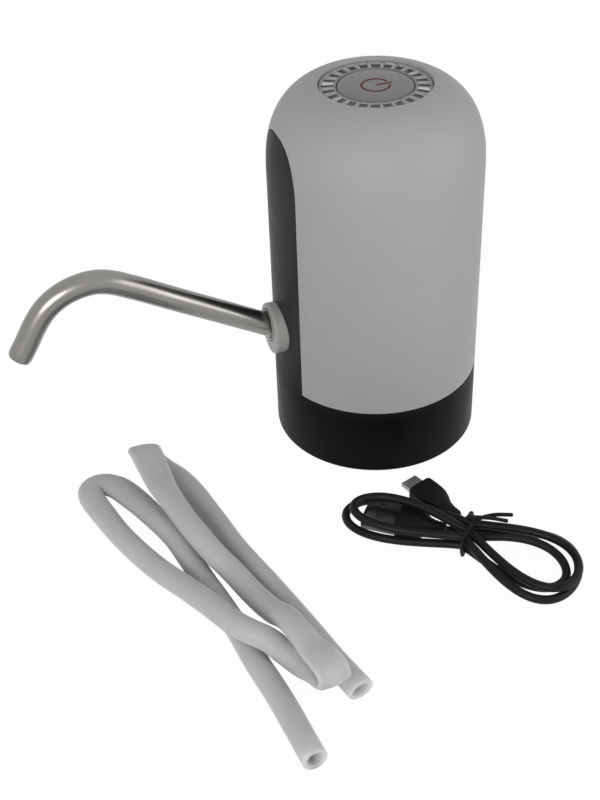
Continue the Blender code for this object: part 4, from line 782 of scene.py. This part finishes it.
def shell_skin():
    edge = RING_RADIUS + SEAM
    lip = SOFT_EDGE / 2
    profile = dome(0, edge + lip)
    profile += [
        (BODY_RADIUS, SHELL_BOTTOM_Z + lip),
        (BODY_RADIUS - lip / 3, SHELL_BOTTOM_Z + lip / 3),
        (BODY_RADIUS - lip, SHELL_BOTTOM_Z),
        (BODY_RADIUS - WALL, SHELL_BOTTOM_Z),
    ]
    profile += dome(WALL, edge + WALL)[::-1]
    seat = ring_low.z - SEAM
    low = seat - WALL
    profile += [(edge + WALL, low), (edge - WALL, low), (edge - WALL, seat), (edge, seat)]
    profile += [(edge, profile[0][1] - lip), (edge + lip / 3, profile[0][1] - lip / 3)]
    made = piece("shell_skin", turned(profile), "pump_unit", "shell_grey", ["outer_shell"], SHELL)
    outline = arch(PANEL_HALF_WIDTH + SEAM, PANEL_TOP_Z + SEAM, SHELL_BOTTOM_Z - WALL)
    obj = seated(made, front_prism(outline, DOME_FLAT_RADIUS, BODY_RADIUS * 2))
    port_low, port_high = corners("usb_port")
    middle = (port_low + port_high) / 2
    half = (port_high - port_low) / 2 + Vector((2 * SEAM, 2 * SEAM, 2 * SEAM))
    side, up = Vector((0, 1, 0)), Vector((0, 0, 1))
    shape = bmesh.new()
    rings = []
    for x in (port_high.x - SEAM, port_high.x + BODY_RADIUS):
        centre = Vector((x, middle.y, middle.z))
        rings.append(section(shape, centre, side, up, GRIP_SIDES, half.y, half.z, PORT_POWER))
    rings_joined(shape, rings)
    for ring in rings:
        shape.faces.new(ring)
    carve(obj, cutter_of(shape), "DIFFERENCE")


def housing_skin():
    """The black base with its socket, and the arched panel that rises from it."""
    skirt = BODY_RADIUS - SKIRT_WALL
    spigot = BODY_RADIUS - WALL - SEAM
    top = SHELL_BOTTOM_Z - SEAM
    lip = EDGE / 3
    profile = [(spigot, DECK_Z), (spigot, top), (BODY_RADIUS - lip, top), (BODY_RADIUS, top - lip)]
    for i in range(5):
        angle = math.pi / 2 * i / 4
        profile.append((BODY_RADIUS - EDGE * (1 - math.cos(angle)), EDGE * (1 - math.sin(angle))))
    profile += [
        (skirt, 0),
        (skirt, SKIRT_ROOF_Z),
        (SOCKET_RADIUS + WALL, SKIRT_ROOF_Z),
        (SOCKET_RADIUS + WALL, SOCKET_LIFT),
        (SOCKET_RADIUS + EDGE, SOCKET_LIFT),
        (SOCKET_RADIUS, SOCKET_LIFT + EDGE),
        (SOCKET_RADIUS, SOCKET_CEILING_Z),
        (NOZZLE_HOLE, SOCKET_CEILING_Z),
        (NOZZLE_HOLE, DECK_Z),
    ]
    base = cutter_of(turned(profile))
    band = dome(0, PANEL_STOP_RADIUS)
    root = SHELL_BOTTOM_Z - WALL
    band += [(BODY_RADIUS, root), (BODY_RADIUS - WALL, root)]
    band += dome(WALL, PANEL_STOP_RADIUS - WALL)[::-1]
    outline = arch(PANEL_HALF_WIDTH, PANEL_TOP_Z, root - WALL)
    made = piece("housing_skin", turned(band), "pump_unit", "black_housing", ["base_housing"], BLACK)
    housing = seated(made, front_prism(outline, DOME_FLAT_RADIUS, BODY_RADIUS * 2), "INTERSECT")
    opening = []
    middle, wide, high = COLLAR_SHAPE[0][1:]
    for i in range(GRIP_SIDES):
        angle = 2 * math.pi * i / GRIP_SIDES
        opening.append(((wide + SEAM) * math.cos(angle), middle + (high + SEAM) * math.sin(angle)))
    carve(housing, front_prism(opening, BODY_RADIUS / 2, BODY_RADIUS * 2), "DIFFERENCE")
    carve(housing, base, "UNION")


def ring_skin():
    """The clear ring: a rounded outer rim and, inside it, dark facets between bright ribs."""
    low, top = ring_low.z, RING_TOP_Z
    inner, outer = CAP_RADIUS + SEAM / 2, RING_RADIUS + SEAM / 2
    shape = bmesh.new()
    stations = []
    for i in range(SEGMENTS):
        start = 2 * math.pi * i / SEGMENTS
        rib = RIB_WIDTH / FACET_OUT
        step = 2 * math.pi / SEGMENTS
        stations += [(start, 0), (start + rib, 0), (start + rib * 1.4, 1), (start + step - rib * 0.4, 1)]
    rings = []
    for angle, sunk in stations:
        drop = FACET_DROP * sunk
        profile = [
            (inner, low),
            (inner, top - RIM_WIDTH / 2),
            (inner + RIM_WIDTH / 3, top - RIM_WIDTH / 6),
            (FACET_IN, top - RIM_WIDTH / 6),
            (FACET_IN + RIM_WIDTH / 4, top - RIM_WIDTH / 6 - drop * 0.5),
            (FACET_OUT - RIM_WIDTH / 4, top - RIM_WIDTH / 6 - drop),
            (FACET_OUT, top - RIM_WIDTH / 6),
            (outer - RIM_WIDTH / 2, top),
            (outer - RIM_WIDTH / 6, top - RIM_WIDTH / 6),
            (outer, top - RIM_WIDTH / 2),
            (outer, low),
        ]
        ring = []
        for radius, height in profile:
            out = Vector((radius * math.cos(angle), radius * math.sin(angle), height))
            ring.append(shape.verts.new(AXIS + out))
        rings.append(ring)
    faces = rings_joined(shape, rings, closed=True)
    size = len(rings[0])
    for k, face in enumerate(faces):
        station, place = divmod(k, size)
        sunk = station % 4 == 2
        if place == 4:
            face.material_index = 1 if sunk else 2
        elif place in (3, 5) and sunk:
            face.material_index = 2
    made = piece("ring_skin", shape, "pump_unit", "clear_plastic", ["button_ring"], CLEAR, FACET, RIB)
    seated(made)


def cap_skin():
    skirt = ring_low.z - SEAM
    profile = [(0, CAP_TOP_Z), (CAP_RADIUS / 2, CAP_TOP_Z)]
    for i in range(6):
        angle = math.pi / 2 * i / 5
        out = CAP_RADIUS - EDGE + EDGE * math.sin(angle)
        profile.append((out, CAP_TOP_Z - EDGE + EDGE * math.cos(angle)))
    outer, inner = CAP_RADIUS + CAP_LIP, CAP_RADIUS - CAP_LIP
    foot, roof = skirt - CAP_LIP_RISE, CAP_TOP_Z - CAP_WALL
    profile += [(CAP_RADIUS, skirt), (outer, skirt), (outer, foot), (inner, foot)]
    profile += [(inner, roof), (CAP_STEM, roof), (CAP_STEM, cap_low.z), (0, cap_low.z)]
    made = piece("cap_skin", turned(profile, CAP_SIDES), "button", "cap_grey", ["button_cap"], CAP)
    seated(made)
    shape = bmesh.new()
    gap = math.radians(MARK_GAP_DEGREES)
    arc = []
    for i in range(49):
        angle = gap / 2 + (2 * math.pi - gap) * i / 48
        arc.append((MARK_RADIUS, angle))
    ribbon(shape, [(r * math.cos(a), r * math.sin(a)) for r, a in arc])
    ribbon(shape, [(MARK_WIDTH / 2 + i * MARK_RADIUS / 8, 0) for i in range(10)])
    made = piece("power_mark", shape, "button", "cap_grey", [], MARK)
    seated(made)


def ribbon(shape, points):
    """A thin raised strip on the cap's face along points given from the body's axis."""
    rings = []
    for i, point in enumerate(points):
        here = Vector(point)
        after = Vector(points[min(i + 1, len(points) - 1)])
        before = Vector(points[max(i - 1, 0)])
        along = (after - before).normalized()
        side = Vector((-along.y, along.x)) * MARK_WIDTH / 2
        ring = []
        for edge, rise in ((1, -MARK_RISE), (0.9, MARK_RISE), (-0.9, MARK_RISE), (-1, -MARK_RISE)):
            flat = here + side * edge
            ring.append(shape.verts.new(AXIS + Vector((flat.x, flat.y, CAP_TOP_Z + rise))))
        rings.append(ring)
    rings_joined(shape, rings)
    shape.faces.new(rings[0])
    shape.faces.new(rings[-1])


def spout_direction():
    angle = math.radians(SPOUT_DEGREES)
    return Vector((-math.cos(angle), 0, math.sin(angle)))


def spout_point(along):
    return AXIS + Vector((-SPOUT_FOOT[0], 0, SPOUT_FOOT[1])) + spout_direction() * along


def collar_skin():
    shape = bmesh.new()
    rings = []
    side, up = Vector((0, 1, 0)), Vector((0, 0, 1))
    for out, height, wide, high in smooth4(COLLAR_SHAPE, COLLAR_STEP):
        centre = AXIS + Vector((-out, 0, height))
        rings.append(section(shape, centre, side, up, COLLAR_SIDES, wide, high))
    rings_joined(shape, rings)
    shape.faces.new(rings[0])
    shape.faces.new(rings[-1])
    made = piece("collar_skin", shape, "pump_unit", "light_plastic", ["spout_collar"], COLLAR)
    bore = bmesh.new()
    line = [spout_point(-BORE_REACH), spout_point(BORE_REACH)]
    swept(bore, line, BORE_SIDES, SPOUT_RADIUS + SLEEVE_WALL + 2 * SEAM)
    seated(made, cutter_of(bore))


def smooth4(rows, longest):
    """Rows of four numbers, filled in smoothly."""
    given = np.array(rows, dtype=float)
    padded = np.vstack([2 * given[0] - given[1], given, 2 * given[-1] - given[-2]])
    read = []
    for i in range(len(given) - 1):
        a, b, c, d = padded[i : i + 4]
        count = max(1, math.ceil(abs(c[0] - b[0]) / longest))
        for k in range(count):
            t = k / count
            bend = 2 * a - 5 * b + 4 * c - d
            read.append(b + (c - a) * t / 2 + bend * t**2 / 2 + (3 * b - a - 3 * c + d) * t**3 / 2)
    read.append(given[-1])
    return read


def spout_skin():
    points = [spout_point(-SPOUT_INSERT), spout_point(0)]
    points += [AXIS + Vector((-out, 0, up)) for out, up in SPOUT_POINTS]
    line = smooth(points, SPOUT_STEP)
    shape = bmesh.new()
    swept(shape, line, SPOUT_SIDES, SPOUT_RADIUS, SPOUT_WALL, tip=SPOUT_WALL / 2)
    made = piece("spout_skin", shape, "spout", "polished_steel", ["spout_tube"], STEEL)
    seated(made)


def sleeve_skin():
    """The soft ring round the spout, trimmed upright just in front of the collar."""
    along = spout_direction()
    side = Vector((0, 1, 0))
    up = along.cross(side)
    inner = SPOUT_RADIUS + SEAM
    outer = inner + SLEEVE_WALL
    lip = SLEEVE_WALL / 4
    rows = [(inner, SLEEVE_LOW, 0), (outer, SLEEVE_LOW, 0)]
    rows += [(outer, 0, lip), (outer - lip, 0, 0), (inner + lip, 0, 0), (inner, 0, lip)]
    shape = bmesh.new()
    rings = []
    for radius, start, back in rows:
        ring = section(shape, spout_point(start), side, up, BORE_SIDES, radius, radius)
        if not start:
            for vertex in ring:
                vertex.co += along * ((vertex.co.x - AXIS.x + COLLAR_FRONT - back) / -along.x)
        rings.append(ring)
    rings_joined(shape, rings, closed=True)
    seated(piece("sleeve_skin", shape, "spout_seat", "grey_rubber", ["spout_sleeve"], SLEEVE))


def inner_tubes():
    """The soft tubes inside: from the nozzle up to the pump, and from the pump round to the collar."""
    low, high = corners("inlet_tube")
    middle = (low + high) / 2
    shape = bmesh.new()
    line = [Vector((middle.x, middle.y, z)) for z in (low.z, high.z)]
    swept(shape, line, TUBE_SIDES, TUBE_RADIUS, TUBE_WALL)
    seated(piece("inlet_skin", shape, "pump_unit", "clear_rubber", ["inlet_tube"], HOSE))
    shape = bmesh.new()
    line = smooth([AXIS + Vector(point) for point in OUTLET_POINTS], OUTLET_STEP)
    swept(shape, line, TUBE_SIDES, TUBE_RADIUS, TUBE_WALL)
    seated(piece("outlet_skin", shape, "pump_unit", "clear_rubber", ["outlet_tube"], HOSE))


# The hose and the charging lead


def hose_skin():
    line = smooth(HOSE_POINTS, HOSE_STEP)
    shape = bmesh.new()
    swept(shape, line, TUBE_SIDES, HOSE_RADIUS, HOSE_WALL, PINCHES)
    made = piece("hose_skin", shape, "pump_unit", "clear_rubber", ["suction_hose"], HOSE)
    hose = seated(made)


def hank_place(along, side, height):
    angle = math.radians(HANK_DEGREES)
    x = TIE_AT[0] + along * math.cos(angle) - side * math.sin(angle)
    y = TIE_AT[1] + along * math.sin(angle) + side * math.cos(angle)
    return x, y, height


def hank_points():
    points = []
    floor = LEAD_RADIUS
    for i, (reach, half, way, first, rise, tip_rise, lean) in enumerate(LOBES):
        for k in range(LOOP_POINTS):
            t = 2 * math.pi * k / LOOP_POINTS
            slot = SLOTS[i] if t < math.pi else SLOTS[i + 1]
            ease = abs(math.cos(t / 2)) ** SLOT_POWER
            low = floor + (SLOT_Z - floor) * ease + slot[1] * abs(math.cos(t / 2)) ** STACK_POWER
            low += tip_rise * math.sin(t / 2) ** 2
            out = way * reach * (1 - math.cos(t)) / 2
            bulge = first * half * math.sin(t) * math.sin(t / 2) ** LOBE_POWER
            if bulge > 0:
                low += rise * math.sin(t) ** 2
            side = bulge + lean * math.sin(t / 2) ** 2 + slot[0] * ease
            points.append(hank_place(out, side, low))
    return points


def plug_matrix(plug):
    start, tip, height = plug
    aim = Vector((tip[0] - start[0], tip[1] - start[1], 0)).normalized()
    up = Vector((0, 0, 1))
    return Matrix.Translation((*start, height)) @ Matrix((up.cross(aim), up, aim)).transposed().to_4x4()


def grip(name, plug, rows, node):
    """A moulded plug body with ridges across its strain relief."""
    shape = bmesh.new()
    rings = []
    relief = rows[2][0]
    across, up = Vector((1, 0, 0)), Vector((0, 1, 0))
    for place, wide, high, power in smooth4(rows, GRIP_STEP):
        ridge = 0.0
        if 0 < place < relief:
            ridge = RIDGE_HEIGHT * (1 - math.cos(2 * math.pi * place / RIDGE_PITCH)) / 2
        centre = Vector((0, 0, place))
        rings.append(section(shape, centre, across, up, GRIP_SIDES, wide + ridge, high + ridge, power))
    rings_joined(shape, rings)
    shape.faces.new(rings[0])
    shape.faces.new(rings[-1])
    shape.transform(plug_matrix(plug))
    return seated(piece(name, shape, "pump_unit", "black_rubber", [node], GRIP))


def plug_shell(name, plug, start, size, corner, node, metal, windows=()):
    """A plug's metal mouth: a rounded box open in front, with any latch windows in its broad faces."""
    depth, wide, high, wall = size
    shape = bmesh.new()
    rings = []
    for place, inset in ((0, 0), (depth - wall, 0), (depth, wall / 3), (depth, wall), (2 * wall, wall)):
        rings.append(box_section(shape, start + place, wide / 2 - inset, high / 2 - inset, corner))
    rings_joined(shape, rings)
    shape.faces.new(rings[0])
    shape.faces.new(rings[-1])
    shape.transform(plug_matrix(plug))
    made = piece(name, shape, "pump_unit", "plain_steel", [node], metal)
    if not windows:
        return seated(made)
    cutter = bmesh.new()
    for side, place, span, run in windows:
        found = bmesh.ops.create_cube(cutter, size=1.0)["verts"]
        bmesh.ops.scale(cutter, vec=(span, high * 2, run), verts=found)
        bmesh.ops.translate(cutter, vec=(side, 0, start + place), verts=found)
    cutter.transform(plug_matrix(plug))
    return seated(made, cutter_of(cutter))


def box_section(shape, place, half_width, half_height, corner):
    ring = []
    for quarter in range(4):
        for i in range(5):
            angle = math.pi / 2 * (quarter + i / 4)
            x = math.copysign(half_width - corner, math.cos(angle + 0.001)) + corner * math.cos(angle)
            y = math.copysign(half_height - corner, math.sin(angle + 0.001)) + corner * math.sin(angle)
            ring.append(shape.verts.new((x, y, place)))
    return ring


def tongue():
    depth, wide, high, wall = SHELL_A
    long, thick = TONGUE_A
    start = GRIP_A[-1][0] + SEAM
    shape = bmesh.new()
    rise = high / 2 - wall - SEAM - thick / 2
    rings = []
    low = start + 2 * wall + SEAM
    for place, inset in ((low, 0), (low + long - SEAM, 0), (low + long, SEAM)):
        ring = box_section(shape, place, wide / 2 - wall - EDGE, thick / 2 - inset, TONGUE_CORNER)
        for vertex in ring:
            vertex.co.y += rise
        rings.append(ring)
    rings_joined(shape, rings)
    shape.faces.new(rings[0])
    shape.faces.new(rings[-1])
    shape.transform(plug_matrix(PLUG_A))
    return seated(piece("tongue_skin", shape, "pump_unit", "white_plastic", ["usb_a_tongue"], TONGUE))


def tie_skin():
    line = smooth([hank_place(*place) for place in TIE_POINTS], TIE_STEP)
    shape = bmesh.new()
    swept(shape, line, TIE_SIDES, TIE_RADIUS)
    return seated(piece("tie_skin", shape, "pump_unit", "black_housing", ["twist_tie"], TIE))


def lead_skin():
    line = smooth([*LEAD_START, *hank_points(), *LEAD_END], LEAD_STEP)
    shape = bmesh.new()
    swept(shape, line, LEAD_SIDES, LEAD_RADIUS)
    lead = seated(piece("lead_skin", shape, "pump_unit", "black_rubber", ["charging_cable"], LEAD))
    start_a = GRIP_A[-1][0] + SEAM
    start_m = GRIP_M[-1][0] + SEAM
    extras = [
        grip("grip_a_skin", PLUG_A, GRIP_A, "usb_a_grip"),
        plug_shell("shell_a_skin", PLUG_A, start_a, SHELL_A, CORNER_A, "usb_a_shell", PLUG, WINDOWS_A),
        tongue(),
        grip("grip_m_skin", PLUG_M, GRIP_M, "micro_usb_grip"),
        plug_shell("shell_m_skin", PLUG_M, start_m, SHELL_M, CORNER_M, "micro_usb_shell", SMALL_PLUG),
        tie_skin(),
    ]


def finish_nodes():
    """Gives every CAD node its slot's finish."""
    slots = {part["node"]: part["material_slot"] for part in frame["record"]["subparts"]}
    for name, node in frame["nodes"].items():
        node.data.materials.clear()
        node.data.materials.append(SLOT_FINISHES[slots[name]])
        shaded(node)


# Floor, light and camera


def seen_white(tree, level, other):
    """Mixes in plain white where the camera, a reflection or a clear piece looks."""
    path = tree.nodes.new("ShaderNodeLightPath")
    glossy = tree.nodes.new("ShaderNodeMath")
    glossy.operation = "ADD"
    glossy.use_clamp = True
    clear = tree.nodes.new("ShaderNodeMath")
    clear.operation = "ADD"
    clear.use_clamp = True
    share = tree.nodes.new("ShaderNodeMath")
    share.operation = "MULTIPLY"
    share.inputs[1].default_value = level
    tree.links.new(path.outputs["Is Camera Ray"], glossy.inputs[0])
    tree.links.new(path.outputs["Is Glossy Ray"], glossy.inputs[1])
    tree.links.new(glossy.outputs[0], clear.inputs[0])
    tree.links.new(path.outputs["Is Transmission Ray"], clear.inputs[1])
    tree.links.new(clear.outputs[0], share.inputs[0])
    mix = tree.nodes.new("ShaderNodeMixShader")
    kind = "ShaderNodeBackground" if other.type == "BACKGROUND" else "ShaderNodeEmission"
    white = tree.nodes.new(kind)
    white.inputs["Color"].default_value = (1, 1, 1, 1)
    white.inputs["Strength"].default_value = 1.0
    tree.links.new(share.outputs[0], mix.inputs[0])
    tree.links.new(other.outputs[0], mix.inputs[1])
    tree.links.new(white.outputs[0], mix.inputs[2])
    return mix


def floor():
    shape = bmesh.new()
    bmesh.ops.create_grid(shape, x_segments=1, y_segments=1, size=FLOOR_HALF)
    mesh = bpy.data.meshes.new("floor")
    shape.to_mesh(mesh)
    shape.free()
    obj = bpy.data.objects.new("floor", mesh)
    bpy.context.scene.collection.objects.link(obj)
    made = surface("floor_finish", (0.80, 0.80, 0.80), 0.9)
    tree = made.node_tree
    mix = seen_white(tree, FLOOR_WHITE, tree.nodes["Principled BSDF"])
    tree.links.new(mix.outputs[0], tree.nodes["Material Output"].inputs["Surface"])
    mesh.materials.append(made)
    obj.location = (0, 0, start_box[0].z)


def world():
    made = bpy.data.worlds.new("studio")
    made.use_nodes = True
    bpy.context.scene.world = made
    tree = made.node_tree
    back = tree.nodes["Background"]
    back.inputs["Color"].default_value = (1, 1, 1, 1)
    back.inputs["Strength"].default_value = WORLD_LEVEL
    mix = seen_white(tree, 1.0, back)
    tree.links.new(mix.outputs[0], tree.nodes["World Output"].inputs["Surface"])


def lamp(name, place, size, watts):
    light = bpy.data.lights.new(name, "AREA")
    light.shape = "DISK"
    light.size = size
    light.energy = watts
    obj = bpy.data.objects.new(name, light)
    bpy.context.scene.collection.objects.link(obj)
    obj.location = place
    obj.rotation_mode = "QUATERNION"
    obj.rotation_quaternion = (Vector(LAMP_AIM) - Vector(place)).to_track_quat("-Z", "Y")


def camera():
    """Places the camera as the photograph was taken."""
    data = bpy.data.cameras.new("camera")
    data.lens = CAMERA_LENS
    data.sensor_width = SENSOR
    data.clip_start = 0.01
    data.clip_end = 20
    obj = bpy.data.objects.new("camera", data)
    bpy.context.scene.collection.objects.link(obj)
    yaw, dip, roll = (math.radians(a) for a in (CAMERA_YAW, CAMERA_DIP, CAMERA_ROLL))
    forward = Vector((math.sin(yaw) * math.cos(dip), math.cos(yaw) * math.cos(dip), -math.sin(dip)))
    right = forward.cross(Vector((0, 0, 1))).normalized()
    up = right.cross(forward)
    turned_right = right * math.cos(roll) + up * math.sin(roll)
    turned_up = up * math.cos(roll) - right * math.sin(roll)
    turn = Matrix((turned_right, turned_up, -forward)).transposed().to_4x4()
    obj.matrix_world = Matrix.Translation(CAMERA_AT) @ turn
    bpy.context.scene.camera = obj


finish_nodes()
shell_skin()
housing_skin()
ring_skin()
cap_skin()
collar_skin()
spout_skin()
sleeve_skin()
inner_tubes()
hose_skin()
lead_skin()
floor()
world()
lamp("key", KEY_AT, KEY_SIZE, KEY_WATTS)
lamp("fill", FILL_AT, FILL_SIZE, FILL_WATTS)
camera()
bpy.context.scene.view_settings.view_transform = "Standard"
